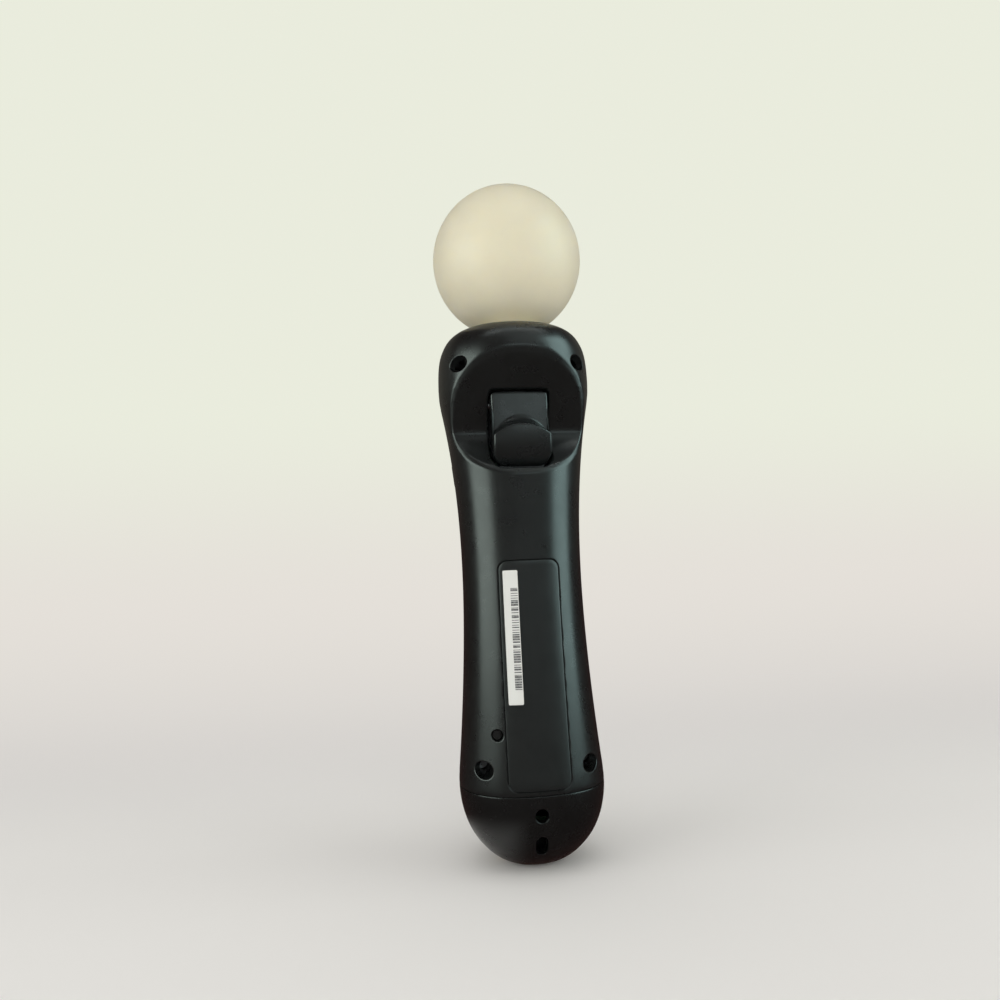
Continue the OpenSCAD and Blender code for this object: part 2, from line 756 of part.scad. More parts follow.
// Casing
module neck_hole() {
    translate([0, 0, neck_low]) cylinder(h = 2 * neck_depth, r = neck_r + neck_gap, $fn = 96);
}
module at_screws() {
    both_sides() {
        translate([screw_top_x, 0, screw_top_z]) children();
        translate([screw_low_x, 0, screw_low_z]) children();
    }
}
module boss_room() {
    core(screw_low_z - boss_trim, screw_low_z + boss_trim, 3);
    core(screw_top_z - boss_trim, screw_top_z + boss_trim, 4);
}
module front_shell() {
    angles = [0.4, 2, 6, 11, 17, 24, 32, 41, 51, 62, 72, neck_angle];
    rings = concat(grip_levels(head_z - ring_margin), crown_rings(angles));
    outside = -head_front - wall;
    room = 2 * wall - front_sizes[1];
    color("#232326") translate([0, -seam_gap / 2, 0]) difference() {
        union() {
            shell_half(180, rings, 26);
            intersection() {
                boss_room();
                at_screws() rod_y(0, 0, outside, frame_front - seat_gap, boss_r - boss_step);
            }
        }
        neck_hole();
        at_screws() rod_y(0, 0, frame_front - screw_bite - screw_gap, 0, screw_d / 2 + seat_gap);
        along_y(outside, room) translate([0, main_z])
            stadium(main_w + 2 * button_gap, main_h + 2 * button_gap);
        for (z = action_z) both_sides() action_place(z)
            rod_y(0, 0, -2 * wall, 3 * wall, action_d / 2 + button_gap);
        rod_y(0, home_z, outside, room, home_d / 2 + button_gap);
        rod_y(0, lens_z, outside, room, lens_d / 2 + seat_gap);
        both_sides() along_x(waist_w / 3, head_w) translate([-side_y, side_z])
            stadium(side_w + 2 * button_gap, side_h + 2 * button_gap);
    }
}
module back_shell() {
    low = groove_bottom - groove_margin;
    groove_rings = [for (k = [0:17]) level(low + (head_z - low) * k / 17)];
    angles = [0.3, 1, 2.5, 5, 7.5, 10, 12.5, 15, 20, 27, 35, 44, 54, 63, 72, neck_angle];
    rings = concat(grip_levels(low - ring_margin), groove_rings, crown_rings(angles));
    ear_in = trigger_open_w / 2 + ear_gap;
    outside = head_back + wall;
    half = trigger_open_w / 2;
    color("#1f1f22") translate([0, seam_gap / 2, 0]) difference() {
        union() {
            shell_half(0, rings, 36);
            intersection() {
                boss_room();
                at_screws() rod_y(0, 0, 0, outside, boss_r);
            }
            at_screws() rod_y(0, 0, frame_back + seat_gap, cut, boss_r - boss_step);
            intersection() {
                core(pivot_z - 2 * ear_r, pivot_z + 2 * ear_r, 8);
                both_sides() union() {
                    rod_x(pivot_y, pivot_z, ear_in, ear_in + ear_t, ear_r);
                    box([ear_in, pivot_y, pivot_z - ear_r], [ear_in + ear_t, outside, pivot_z + ear_r]);
                }
            }
        }
        neck_hole();
        at_screws() {
            rod_y(0, 0, screw_seat_y, outside, screw_hole_d / 2);
            rod_y(0, 0, frame_back - cut, screw_seat_y + cut, screw_d / 2 + screw_gap);
        }
        box([-half, cut, trigger_open_low], [half, outside, trigger_open_top]);
        rod_x(pivot_y - seam_gap / 2, pivot_z, -head_w / 2, head_w / 2, pin_d / 2 + pin_gap);
        rod_y(reset_x, reset_z, bulb_back / 3, outside, reset_d / 2);
    }
}
module bottom_cap() {
    rim = cap_z;
    foot_a = dome_angle(0, 0);
    floor_a = dome_angle(foot_wall, wall);
    rim_a = dome_angle(rim - cap_rise, 0);
    root_a = dome_angle(rim - lip_root - lip_fall, wall);
    lip_out = wall + lip_gap;
    lip_in = lip_out + lip_t;
    steps = 9;
    outer = [for (k = [0:steps]) [dome_height(foot_a + (rim_a - foot_a) * k / steps, 0), 0]];
    inner = [for (k = [0:steps]) [dome_height(root_a + (floor_a - root_a) * k / steps, wall), wall]];
    lip_top = rim + lip_h;
    lip = [[rim, 0], [rim, lip_out], [lip_top, lip_out], [lip_top, lip_in], [rim - lip_root, lip_in]];
    usb = [usb_w / 2 + socket_lip, usb_d / 2 + socket_lip];
    ext = [ext_w / 2, ext_d / 2];
    seat = ext + [ext_side + seat_gap, ext_side + seat_gap];
    outside = bulb_back + wall;
    color("#1d1d20") difference() {
        loft(concat(outer, lip, inner), 48);
        rod_y(0, strap_z, bulb_back / 2, outside, strap_d / 2);
        along_y(bulb_back / 3, outside) translate([0, (slot_z + slot_top) / 2])
            stadium(slot_w, slot_top - slot_z);
        box([-usb[0], -usb_y - usb[1], -cut], [usb[0], -usb_y + usb[1], socket_cut]);
        box([-ext[0], -ext[1], -cut], [ext[0], ext[1], socket_cut]);
        box([-seat[0], -seat[1], foot_wall], [seat[0], seat[1], socket_cut]);
        both_sides() translate([contact_x, 0, -cut])
            cylinder(h = socket_cut + cut, r = contact_d / 2 + socket_lip);
    }
}
module case_screws() {
    low = screw_seat_y + seam_gap;
    top = low + screw_head_h;
    color("dimgray") at_screws() difference() {
        union() {
            rod_y(0, 0, low, top, screw_hole_d / 2 - screw_head_gap);
            rod_y(0, 0, frame_front - screw_bite, low + cut / 2, screw_d / 2);
        }
        along_y(top - cross_t, top + cut) {
            square([cross_l, cross_w], center = true);
            square([cross_w, cross_l], center = true);
        }
    }
}
module label_plate() {
    half = label_w / 2;
    low = seam_gap + seat_gap;
    color("#2b2b2e") intersection() {
        back_film(-half, half, label_z, label_z + label_h, low, label_t + seam_gap, 8, 14);
        along_y(0, bulb_w) translate([0, label_z + label_h / 2]) round_rect(label_w, label_h, label_corner);
    }
}
module bar_sticker() {
    low = label_t + seam_gap + seat_gap;
    left = sticker_x - sticker_w / 2;
    top = sticker_z + sticker_h;
    color("gainsboro")
        back_film(left, left + sticker_w, sticker_z, top, low, low + sticker_t, 4, 12);
}

// Trigger
module trigger() {
    steps = 14;
    chin = arc([chin_y, chin_z], chin_r, ridge_angle, chin_end_angle, steps);
    ridge = chin[0];
    low = chin[steps][1];
    inner_y = pivot_y + trigger_t;
    face = [
        [face_y, trigger_top] - lead_in, [face_y, trigger_top],
        [face_y + face_slope, ridge[1] + face_bend], ridge + [-hook[0], hook[1]]
    ];
    heels = [[chin_y + heel[0], low], [inner_y, low + heel[1]], [inner_y, pivot_z - cut]];
    outline = concat(face, chin, heels);
    top_r = trigger_corner_top;
    low_r = trigger_corner_low;
    half = trigger_w / 2;
    arm = arm_w / 2;
    color("#2e2e32") difference() {
        union() {
            intersection() {
                along_x(-half, half) union() {
                    polygon(outline);
                    translate([pivot_y, pivot_z]) circle(barrel_r);
                    translate([pivot_y, pivot_z - cut]) square([face_y - pivot_y - cut, barrel_r + cut]);
                }
                along_y(0, head_w) union() {
                    for (s = [-1, 1]) {
                        translate([s * (half - low_r), low + low_r]) circle(low_r);
                        translate([s * (half - top_r), trigger_top - top_r]) circle(top_r);
                    }
                    translate([-half, low + low_r]) square([trigger_w, trigger_top - top_r - low - low_r]);
                    translate([-half + low_r, low]) square([trigger_w - 2 * low_r, 2 * low_r]);
                    translate([-half + top_r, trigger_top - 2 * top_r])
                        square([trigger_w - 2 * top_r, 2 * top_r]);
                }
            }
            box([-arm, arm_tip_y, arm_z - arm_tip_r], [arm, inner_y + cut, arm_z + arm_tip_r]);
            rod_x(arm_tip_y, arm_z, -arm, arm, arm_tip_r);
        }
        rod_x(pivot_y, pivot_z, -trigger_w, trigger_w, pin_d / 2 + pin_gap);
        rod_x(pivot_y, pivot_z, -spring_slot_w / 2, spring_slot_w / 2, spring_slot_r);
    }
}
module trigger_pin() {
    reach = trigger_open_w / 2 + ear_gap + ear_t + pin_end;
    color("silver") rod_x(pivot_y, pivot_z, -reach, reach, pin_d / 2);
}
module trigger_spring() {
    sides = 6;
    per_turn = 10;
    last = spring_turns * per_turn;
    function coil(k) =
        let (a = 360 * k / per_turn, x = spring_pitch * (k / per_turn - spring_turns / 2))
        [x, spring_r * sin(a), spring_r * cos(a)];
    path = concat(
        [coil(0) + [0, -spring_leg, 0]],
        [for (k = [0:last]) coil(k)],
        [coil(last) + [0, spring_stub, 0]]
    );
    function along(k) =
        let (d = path[min(k + 1, len(path) - 1)] - path[max(k - 1, 0)])
        d / norm(d);
    function across(t) =
        let (u = cross(t, cross([1, 0, 0], t)))
        u / norm(u);
    function wire(k, a) =
        let (t = along(k), n = across(t))
        path[k] + spring_wire_r * (cos(a) * n + sin(a) * cross(t, n));
    points = [for (k = [0:len(path) - 1]) each [for (j = [0:sides - 1]) wire(k, 360 * j / sides)]];
    end = (len(path) - 1) * sides;
    caps = concat(
        [for (j = [1:sides - 2]) [0, j, j + 1]],
        [for (j = [1:sides - 2]) [end, end + j + 1, end + j]]
    );
    color("silver") translate([0, pivot_y, pivot_z])
        polyhedron(points, concat(tube_faces(len(path), sides), caps));
}
module trigger_board() {
    color("darkgreen")
        box([-sensor_half, frame_back + seat_gap, sensor_low],
            [sensor_half, sensor_back, sensor_low + sensor_h]);
}
module trigger_pad() {
    color("dimgray") translate([0, sensor_back + seat_gap, arm_z + pad_lift]) rotate([-90, 0, 0])
        cylinder(h = pad_h, r1 = pad_base_r, r2 = pad_tip_r);
}

// Buttons
module action_place(z) {
    translate([action_x, front_y(action_x, z), z]) rotate([0, 0, action_tilt]) children();
}
module main_button() {
    tab_back = main_tab_front + button_tab_t;
    half = main_w / 2 + cut;
    rise = main_h / 2 + cut;
    tab = main_h / 2 + main_tab_reach;
    color("#3a3a40") union() {
        intersection() {
            front_block(-half, half, main_z - rise, main_z + rise, button_proud, tab_back, 6, 8);
            along_y(-head_w, 0) translate([0, main_z]) stadium(main_w, main_h);
        }
        box([-main_tab_half, main_tab_front, main_z - tab], [main_tab_half, tab_back, main_z + tab]);
        rod_y(0, main_z, main_tab_front, stem_tip, main_stem_r);
    }
}
module action_button(z) {
    r = action_d / 2;
    edge = r + 2 * cut;
    flange_in = action_flange_depth + action_flange_t;
    reach = action_drop(z) / cos(action_tilt);
    color("#3a3a40") union() {
        intersection() {
            front_block(action_x - edge, action_x + edge, z - edge, z + edge, button_proud,
                frame_front, 6, 4);
            action_place(z) rod_y(0, 0, -action_d, flange_in, r);
        }
        action_place(z) {
            rod_y(0, 0, action_flange_depth, flange_in, action_flange_r);
            rod_y(0, 0, action_flange_depth, reach, action_tip_r);
            translate([0, reach, 0]) rotate([90, 0, 0]) sphere(action_tip_r);
        }
    }
}
module home_button() {
    edge = home_d / 2 + cut;
    flange_back = home_flange_front + home_flange_t;
    color("#3a3a40") union() {
        intersection() {
            front_block(-edge, edge, home_z - edge, home_z + edge, button_proud, flange_back, 6, 6);
            rod_y(0, home_z, -head_w, 0, home_d / 2);
        }
        rod_y(0, home_z, home_flange_front, flange_back, home_flange_r);
        rod_y(0, home_z, home_flange_front, stem_tip, home_stem_r);
    }
}
module side_button() {
    rows = 6;
    cols = 4;
    reach = side_h / 2 + side_tab_reach;
    y_reach = side_w / 2 + cut / 2;
    tab_in = side_tab_x - side_tab_t;
    tab_y = side_w / 2 - side_tab_trim;
    function face(k, j) =
        let (z = side_z + reach * (2 * k / rows - 1), y = -side_y + y_reach * (2 * j / cols - 1))
        [inner_x(y, z, -button_proud * side_share), y, z];
    outer = [for (k = [0:rows]) [for (j = [0:cols]) face(k, j)]];
    inner = [for (row = outer) [for (p = row) [tab_in, p[1], p[2]]]];
    color("#3a3a40") union() {
        intersection() {
            slab(outer, inner);
            along_x(0, head_w) translate([-side_y, side_z]) stadium(side_w, side_h);
        }
        box([tab_in, -side_y - tab_y, side_z - reach], [side_tab_x, -side_y + tab_y, side_z + reach]);
        rod_x(-side_y, side_z, side_tip_x, side_tab_x, side_stem_r);
    }
}
module button_membrane() {
    low = home_z - home_d / 2 - sheet_low;
    step = action_z[0] - sheet_high;
    high = action_z[1] + sheet_high;
    tongue = home_flange_r + sheet_low;
    color("slategray") union() {
        box([-board_head_half, sheet_front, step], [board_head_half, sheet_back, high]);
        box([-tongue, sheet_front, low], [tongue, sheet_back, step + frame_lap]);
        for (z = [home_z, main_z]) membrane_dome(0, z);
        for (z = action_z) both_sides() membrane_dome(action_tip_x(z), z);
    }
}
module membrane_dome(x, z) {
    translate([x, sheet_front + dome_root, z]) rotate([90, 0, 0])
        cylinder(h = dome_h + dome_root, r1 = dome_base_r, r2 = dome_tip_r);
}
module side_pads() {
    color("slategray") both_sides() translate([board_head_half + seat_gap, -side_y, side_z])
        box([0, -side_pad_y, -side_pad_z], [side_pad_t, side_pad_y, side_pad_z]);
}
module status_lens() {
    color("mintcream")
        rod_y(0, lens_z, front_y(0, lens_z) - lens_proud, board_front - lens_gap, lens_d / 2);
}

// Inner frame and electronics
module inner_frame() {
    saddle_r = motor_d / 2 + boot_t + seat_gap;
    saddle_x = motor_left + motor_l / 2;
    saddle_half = saddle_r + saddle_wall;
    rail_in = battery_w / 2 + battery_gap;
    rail_out = rail_in + rail_t;
    rail_low = frame_back - rail_root;
    rail_back = frame_back + rail_d;
    stop_in = rail_in - stop_trim;
    stop_z = [battery_z - battery_gap - rail_t, battery_z + battery_h + battery_gap];
    notch = switch_half + switch_gap;
    color("#4a4a4e") difference() {
        union() {
            box([-frame_half, frame_front, frame_low], [frame_half, frame_back, frame_top]);
            for (z = [screw_low_z, screw_top_z]) let (x = z == screw_low_z ? screw_low_x : screw_top_x) {
                both_sides() rod_y(x, z, frame_front, frame_back, tab_r);
                box([-x, frame_front, z - tab_r], [x, frame_back, z + tab_r]);
            }
            box([-frame_half, frame_front, screw_low_z], [frame_half, frame_back, frame_low + frame_lap]);
            both_sides() {
                box([rail_in, rail_low, battery_z], [rail_out, rail_back, battery_z + battery_h]);
                box([0, rail_low, battery_z], [rail_out, frame_back, battery_z + battery_h]);
            }
            for (z = stop_z) box([-stop_in, rail_low, z], [stop_in, rail_back, z + rail_t]);
            box([saddle_x - saddle_w / 2, rail_low, motor_z - saddle_half],
                [saddle_x + saddle_w / 2, motor_y, motor_z + saddle_half]);
        }
        at_screws() rod_y(0, 0, frame_front - cut, frame_back + cut, screw_d / 2 + screw_gap);
        rod_x(motor_y, motor_z, saddle_x - saddle_w, saddle_x + saddle_w, saddle_r);
        box([reset_x - notch, frame_front - cut, reset_z - notch],
            [frame_half + cut, frame_back + cut, reset_z + notch]);
        at_board_screws() rod_y(0, 0, frame_front - cut, frame_back + cut, board_screw_r + seat_gap);
    }
}
module at_board_screws() {
    for (z = board_screw_z) both_sides() translate([board_screw_x, 0, z]) children();
}
module main_board() {
    color("darkgreen") difference() {
        union() {
            box([-board_half, board_front, board_low], [board_half, board_back, board_step_z + frame_lap]);
            box([-board_head_half, board_front, board_step_z], [board_head_half, board_back, frame_top]);
        }
        at_board_screws() rod_y(0, 0, board_front - cut, board_back + cut, board_screw_r + small_gap);
    }
}
module board_screws() {
    front = board_front - seat_gap;
    color("silver") at_board_screws() {
        rod_y(0, 0, front - small_head_h, front, small_head_r);
        rod_y(0, 0, front - board_screw_root, frame_back - small_gap, board_screw_r);
    }
}
module chip(place, w, h, t) {
    x = place[0] * board_half;
    z = board_low + place[1] * (lens_z - board_low);
    front = board_front - seat_gap;
    box([x - w / 2, front - t, z - h / 2], [x + w / 2, front, z + h / 2]);
}
module board_chips() {
    color("#18181a") {
        for (c = chips) chip(c, c[2], c[2], chip_t);
        chip([0, 1], lamp_size, lamp_size, lamp_t);
    }
}
module shield_can() {
    color("silver") chip(can_place, can_w, can_h, can_t);
}
module battery() {
    middle = frame_back + seat_gap + battery_t / 2;
    color("steelblue") translate([0, middle, battery_z]) linear_extrude(battery_h)
        round_rect(battery_w, battery_t, battery_corner);
}
module battery_lead() {
    low = battery_z + battery_h + seat_gap;
    color("crimson") for (k = [-1:1])
        translate([k * lead_pitch, lead_y, low]) cylinder(h = plug_low - low - seat_gap, r = lead_r);
}
module battery_plug() {
    color("ivory")
        box([-plug_half, frame_back + seat_gap, plug_low],
            [plug_half, frame_back + plug_t, plug_low + plug_h]);
}

// Shaking motor
module motor_can() {
    right = motor_left + motor_l;
    color("silver") difference() {
        union() {
            rod_x(motor_y, motor_z, motor_left, right, motor_d / 2);
            rod_x(motor_y, motor_z, motor_left - motor_nose, right, motor_nose_r);
        }
        rod_x(motor_y, motor_z, motor_left - 2 * cut, right - shaft_end / 2, shaft_r + shaft_gap);
    }
}
module motor_boot() {
    left = motor_left + boot_trim;
    right = motor_left + motor_l - boot_trim;
    color("#202022") difference() {
        rod_x(motor_y, motor_z, left, right, motor_d / 2 + boot_t);
        rod_x(motor_y, motor_z, left - cut, right + cut, motor_d / 2 + seat_gap);
    }
}
module motor_shaft() {
    left = motor_left - weight_gap - weight_l;
    right = motor_left + motor_l - shaft_end;
    color("lightgray") rod_x(motor_y, motor_z, left, right, shaft_r);
}
module motor_weight() {
    right = motor_left - weight_gap;
    left = right - weight_l;
    color("darkgray") difference() {
        rod_x(motor_y, motor_z, left, right, weight_r);
        box([left - cut, motor_y - weight_r, motor_z + weight_flat],
            [right + cut, motor_y + weight_r, motor_z + weight_r]);
        rod_x(motor_y, motor_z, left - cut, right + cut, shaft_r + seat_gap);
    }
}

// Reset switch behind its pinhole
module reset_switch() {
    h = switch_half;
    color("#18181a")
        box([reset_x - h, board_back + seat_gap, reset_z - h], [reset_x + h, switch_back, reset_z + h]);
}
module reset_pin() {
    skin = back_y(reset_x, reset_z);
    stop_y = skin - wall - reset_stop;
    color("#3a3a40") union() {
        rod_y(reset_x, reset_z, switch_back + reset_lift, skin - reset_sink, reset_d / 2 - reset_gap);
        rod_y(reset_x, reset_z, stop_y - reset_stop_t, stop_y, reset_stop_r);
    }
}

// Sockets at the lower end
module usb_port() {
    w = usb_w / 2;
    d = usb_d / 2;
    in_w = w - usb_shell;
    in_d = d - usb_shell;
    tongue_w = w - usb_tongue_in;
    top = usb_low + usb_depth;
    color("silver") translate([0, -usb_y, 0]) difference() {
        box([-w, -d, usb_low], [w, d, port_board_z - seat_gap]);
        difference() {
            box([-in_w, -in_d, usb_low - cut], [in_w, in_d, top]);
            box([-tongue_w, -usb_tongue_t, usb_low + usb_tongue_low], [tongue_w, usb_tongue_t, top + cut]);
        }
    }
}
module extension_port() {
    w = ext_w / 2;
    d = ext_d / 2;
    low = foot_wall + seat_gap;
    color("#26262a") difference() {
        box([-w - ext_side, -d - ext_side, low], [w + ext_side, d + ext_side, port_board_z - seat_gap]);
        box([-w, -d, low - cut], [w, d, low + ext_depth]);
    }
}
module charge_contacts() {
    low = dome_height(dome_angle_x(contact_x), 0) + contact_sink;
    color("gold") both_sides() translate([contact_x, 0, low])
        cylinder(h = port_board_z - seat_gap - low, r = contact_d / 2);
}
module port_board() {
    color("darkgreen") intersection() {
        translate([0, 0, port_board_z]) cylinder(h = board_t, r = port_board_r);
        box([-port_board_r, -usb_y - usb_d / 2 - port_board_front, port_board_z - cut],
            [port_board_r, ext_d / 2 + port_board_back, port_board_z + board_t + cut]);
    }
}

light_ball();
light_base();
led_board();
rgb_led();
led_screws();
led_ribbon();
front_shell();
back_shell();
bottom_cap();
case_screws();
label_plate();
bar_sticker();
trigger();
trigger_pin();
trigger_spring();
trigger_pad();
trigger_board();
main_button();
action_button(action_z[1]);  // action_button_1
action_button(action_z[0]);  // action_button_2
mirror([1, 0, 0]) action_button(action_z[1]);  // action_button_3
mirror([1, 0, 0]) action_button(action_z[0]);  // action_button_4
home_button();
side_button();  // start_button
mirror([1, 0, 0]) side_button();  // select_button
button_membrane();
side_pads();
status_lens();
inner_frame();
main_board();
board_chips();
shield_can();
board_screws();
battery();
battery_lead();
battery_plug();
motor_can();
motor_boot();
motor_shaft();
motor_weight();
reset_pin();
reset_switch();
usb_port();
extension_port();
charge_contacts();
port_board();
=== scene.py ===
"""Looks of a hand-held motion wand: its light ball, waisted casing, trigger, buttons and insides."""

import json
import logging
import math
from dataclasses import dataclass, field
from enum import Enum
from typing import Callable, Iterable, Sequence

import bpy
import numpy as np
from mathutils import Matrix, Vector


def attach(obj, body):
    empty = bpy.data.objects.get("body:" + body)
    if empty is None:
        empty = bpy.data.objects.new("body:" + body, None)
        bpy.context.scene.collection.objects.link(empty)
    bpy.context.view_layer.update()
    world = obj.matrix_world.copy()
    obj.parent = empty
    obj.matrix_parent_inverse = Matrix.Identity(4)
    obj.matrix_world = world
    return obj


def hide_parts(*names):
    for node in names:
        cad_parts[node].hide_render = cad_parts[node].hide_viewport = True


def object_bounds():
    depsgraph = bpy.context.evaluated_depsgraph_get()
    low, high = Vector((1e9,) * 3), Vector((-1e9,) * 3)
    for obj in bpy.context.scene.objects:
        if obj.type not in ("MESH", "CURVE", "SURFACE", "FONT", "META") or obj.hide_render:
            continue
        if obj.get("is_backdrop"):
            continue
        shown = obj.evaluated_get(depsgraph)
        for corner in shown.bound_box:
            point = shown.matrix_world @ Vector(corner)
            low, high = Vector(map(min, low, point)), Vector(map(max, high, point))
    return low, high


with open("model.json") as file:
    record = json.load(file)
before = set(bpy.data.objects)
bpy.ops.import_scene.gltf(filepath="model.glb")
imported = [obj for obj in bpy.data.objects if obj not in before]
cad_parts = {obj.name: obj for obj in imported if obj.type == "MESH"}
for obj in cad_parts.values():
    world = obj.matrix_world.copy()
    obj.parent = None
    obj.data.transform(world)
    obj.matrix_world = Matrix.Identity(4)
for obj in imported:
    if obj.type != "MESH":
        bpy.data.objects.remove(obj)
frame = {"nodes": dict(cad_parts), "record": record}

LOG = logging.getLogger("wand")
MM = 0.001

Array = np.ndarray
Colour = tuple[float, float, float]
Point = tuple[float, float, float]
Pair = tuple[float, float]
Piece = bpy.types.Object
Material = bpy.types.Material
Socket = bpy.types.NodeSocket

TO_BACK, TO_FRONT, TO_FOOT = (0.0, 1.0, 0.0), (0.0, -1.0, 0.0), (0.0, 0.0, -1.0)
BACK_ACROSS, FRONT_ACROSS = (-1.0, 0.0, 0.0), (1.0, 0.0, 0.0)


# Small helpers for numbers


def spow(value: Array, power: float) -> Array:
    """Returns the power of a number with its sign kept."""
    return np.sign(value) * np.abs(value) ** power


def arch(t: Array, power: float) -> Array:
    """Returns the height of a unit arch at a share of its half span."""
    return np.maximum(0.0, 1.0 - np.clip(t, 0.0, 1.0) ** power) ** (1.0 / power)


def smooth_min(a: Array, b: Array, width: float) -> Array:
    """Returns the lesser of two surfaces with a rounded edge between them."""
    h = np.maximum(width - np.abs(a - b), 0.0) / width
    return np.minimum(a, b) - h * h * width / 4.0


def smooth_step(t: Array) -> Array:
    """Returns a soft step from 0 to 1."""
    t = np.clip(t, 0.0, 1.0)
    return t * t * (3.0 - 2.0 * t)


def rounding(distance: Array, radius: float) -> Array:
    """Returns how far a rounded edge falls away at a distance from it."""
    d = np.clip(radius - distance, 0.0, radius)
    return radius - np.sqrt(radius * radius - d * d)


def circle_outline(radius: float, count: int = 48) -> Array:
    """Returns the points of a circle about the origin."""
    t = np.arange(count) * 2.0 * math.pi / count
    return np.stack([np.cos(t), np.sin(t)], 1) * radius


def round_outline(
    width: float, height: float, radius: float, step: float = 0.3, low_radius: float | None = None
) -> Array:
    """Returns evenly spaced points round a rectangle with round corners.

    Args:
        width: Size along the first direction.
        height: Size along the second direction.
        radius: Radius of the corners.
        step: Distance between points.
        low_radius: Radius of the two lower corners where it differs.

    Returns:
        The points, counter-clockwise.
    """
    corners = []
    for k, (sx, sy) in enumerate([(1, 1), (-1, 1), (-1, -1), (1, -1)]):
        t = np.radians(np.linspace(90 * k, 90 * k + 90, 12))
        r = low_radius if sy < 0 and low_radius is not None else radius
        centre = np.array([sx * (width / 2 - r), sy * (height / 2 - r)])
        corners.append(centre + r * np.stack([np.cos(t), np.sin(t)], 1))
    path = np.concatenate(corners)
    path = np.concatenate([path, path[:1]])
    run = np.concatenate([[0.0], np.cumsum(np.linalg.norm(np.diff(path, axis=0), axis=1))])
    count = max(16, int(round(run[-1] / step)))
    places = np.arange(count) * run[-1] / count
    return np.stack([np.interp(places, run, path[:, k]) for k in range(2)], 1)


def outward(outline: Array) -> Array:
    """Returns the outward directions at the points of a counter-clockwise outline."""
    along = np.roll(outline, -1, 0) - np.roll(outline, 1, 0)
    normal = np.stack([along[:, 1], -along[:, 0]], 1)
    return normal / np.linalg.norm(normal, axis=1, keepdims=True)


def stadium_outline(width: float, height: float, step: float = 0.3) -> Array:
    """Returns the points of a long hole with round ends."""
    return round_outline(width, height, min(width, height) / 2 - 1e-3, step)


def grown(outline: Array, by: float) -> Array:
    """Returns a counter-clockwise outline moved outward, or inward by less than 0."""
    return outline + by * outward(outline)


def rect_distance(x: Array, z: Array, half_w: float, half_h: float, radius: float) -> Array:
    """Returns the signed distance from a rectangle with round corners, less than 0 inside."""
    qx, qz = np.abs(x) - half_w + radius, np.abs(z) - half_h + radius
    outside = np.hypot(np.maximum(qx, 0.0), np.maximum(qz, 0.0))
    return outside + np.minimum(np.maximum(qx, qz), 0.0) - radius


# Small helpers for modelling


def deselect() -> None:
    """Leaves nothing selected."""
    bpy.ops.object.select_all(action="DESELECT")


def pick(piece: Piece) -> None:
    """Makes a piece the only one selected."""
    deselect()
    piece.select_set(True)
    bpy.context.view_layer.objects.active = piece


def edit(piece: Piece, steps: Callable[[], None], everything: bool = True) -> None:
    """Carries out edit-mode steps on a piece.

    Args:
        piece: The piece that is edited.
        steps: What is done in edit mode.
        everything: Whether all of it is selected first.
    """
    pick(piece)
    bpy.ops.object.mode_set(mode="EDIT")
    if everything:
        bpy.ops.mesh.select_all(action="SELECT")
    steps()
    bpy.ops.object.mode_set(mode="OBJECT")


def places(piece: Piece) -> Array:
    """Returns the places of a piece's vertices."""
    flat = np.empty(len(piece.data.vertices) * 3, np.float32)
    piece.data.vertices.foreach_get("co", flat)
    return flat.reshape(-1, 3).astype(float)


def move(piece: Piece, points: Array) -> None:
    """Moves a piece's vertices to new places."""
    piece.data.vertices.foreach_set("co", points.astype(np.float32).ravel())
    piece.data.update()


def face_outward(piece: Piece) -> None:
    """Turns all the faces of a closed piece outward."""
    edit(piece, lambda: bpy.ops.mesh.normals_make_consistent(inside=False))


def soften(piece: Piece, angle: float = 35.0) -> None:
    """Shades a piece smooth, apart from edges sharper than an angle."""
    pick(piece)
    bpy.ops.object.shade_smooth_by_angle(angle=math.radians(angle))


def join(piece: Piece, others: Iterable[Piece]) -> None:
    """Joins other meshes into a piece."""
    deselect()
    for other in others:
        other.select_set(True)
    piece.select_set(True)
    bpy.context.view_layer.objects.active = piece
    bpy.ops.object.join()


def cut_away(piece: Piece, cutter: Piece) -> None:
    """Cuts a solid out of a piece and throws the cutting solid away."""
    pick(piece)
    modifier = piece.modifiers.new("cut", "BOOLEAN")
    modifier.operation = "DIFFERENCE"
    modifier.solver = "EXACT"
    modifier.object = cutter
    bpy.ops.object.modifier_apply(modifier=modifier.name)
    bpy.data.objects.remove(cutter, do_unlink=True)


def added(operator: Callable[..., object], name: str, **settings: object) -> Piece:
    """Adds a basic shape, names it and returns it."""
    deselect()
    operator(**settings)
    piece = bpy.context.object
    piece.name = name
    piece.data.name = name
    return piece


def prisms(outlines: Sequence[Array], steps: Sequence[Array]) -> Piece:
    """Returns solids drawn out from outlines, joined into one object for cutting.

    Args:
        outlines: Points of each outline.
        steps: How far and which way each outline is drawn out.

    Returns:
        The cutting solids.
    """
    made = []
    for outline, step in zip(outlines, steps):
        corners = {"vertices": len(outline), "radius": 1, "fill_type": "NGON"}
        solid = added(bpy.ops.mesh.primitive_circle_add, "cutter", **corners)
        move(solid, outline)
        draw = {"value": tuple(step)}
        edit(solid, lambda: bpy.ops.mesh.extrude_region_move(TRANSFORM_OT_translate=draw))
        face_outward(solid)
        made.append(solid)
    join(made[0], made[1:])
    return made[0]


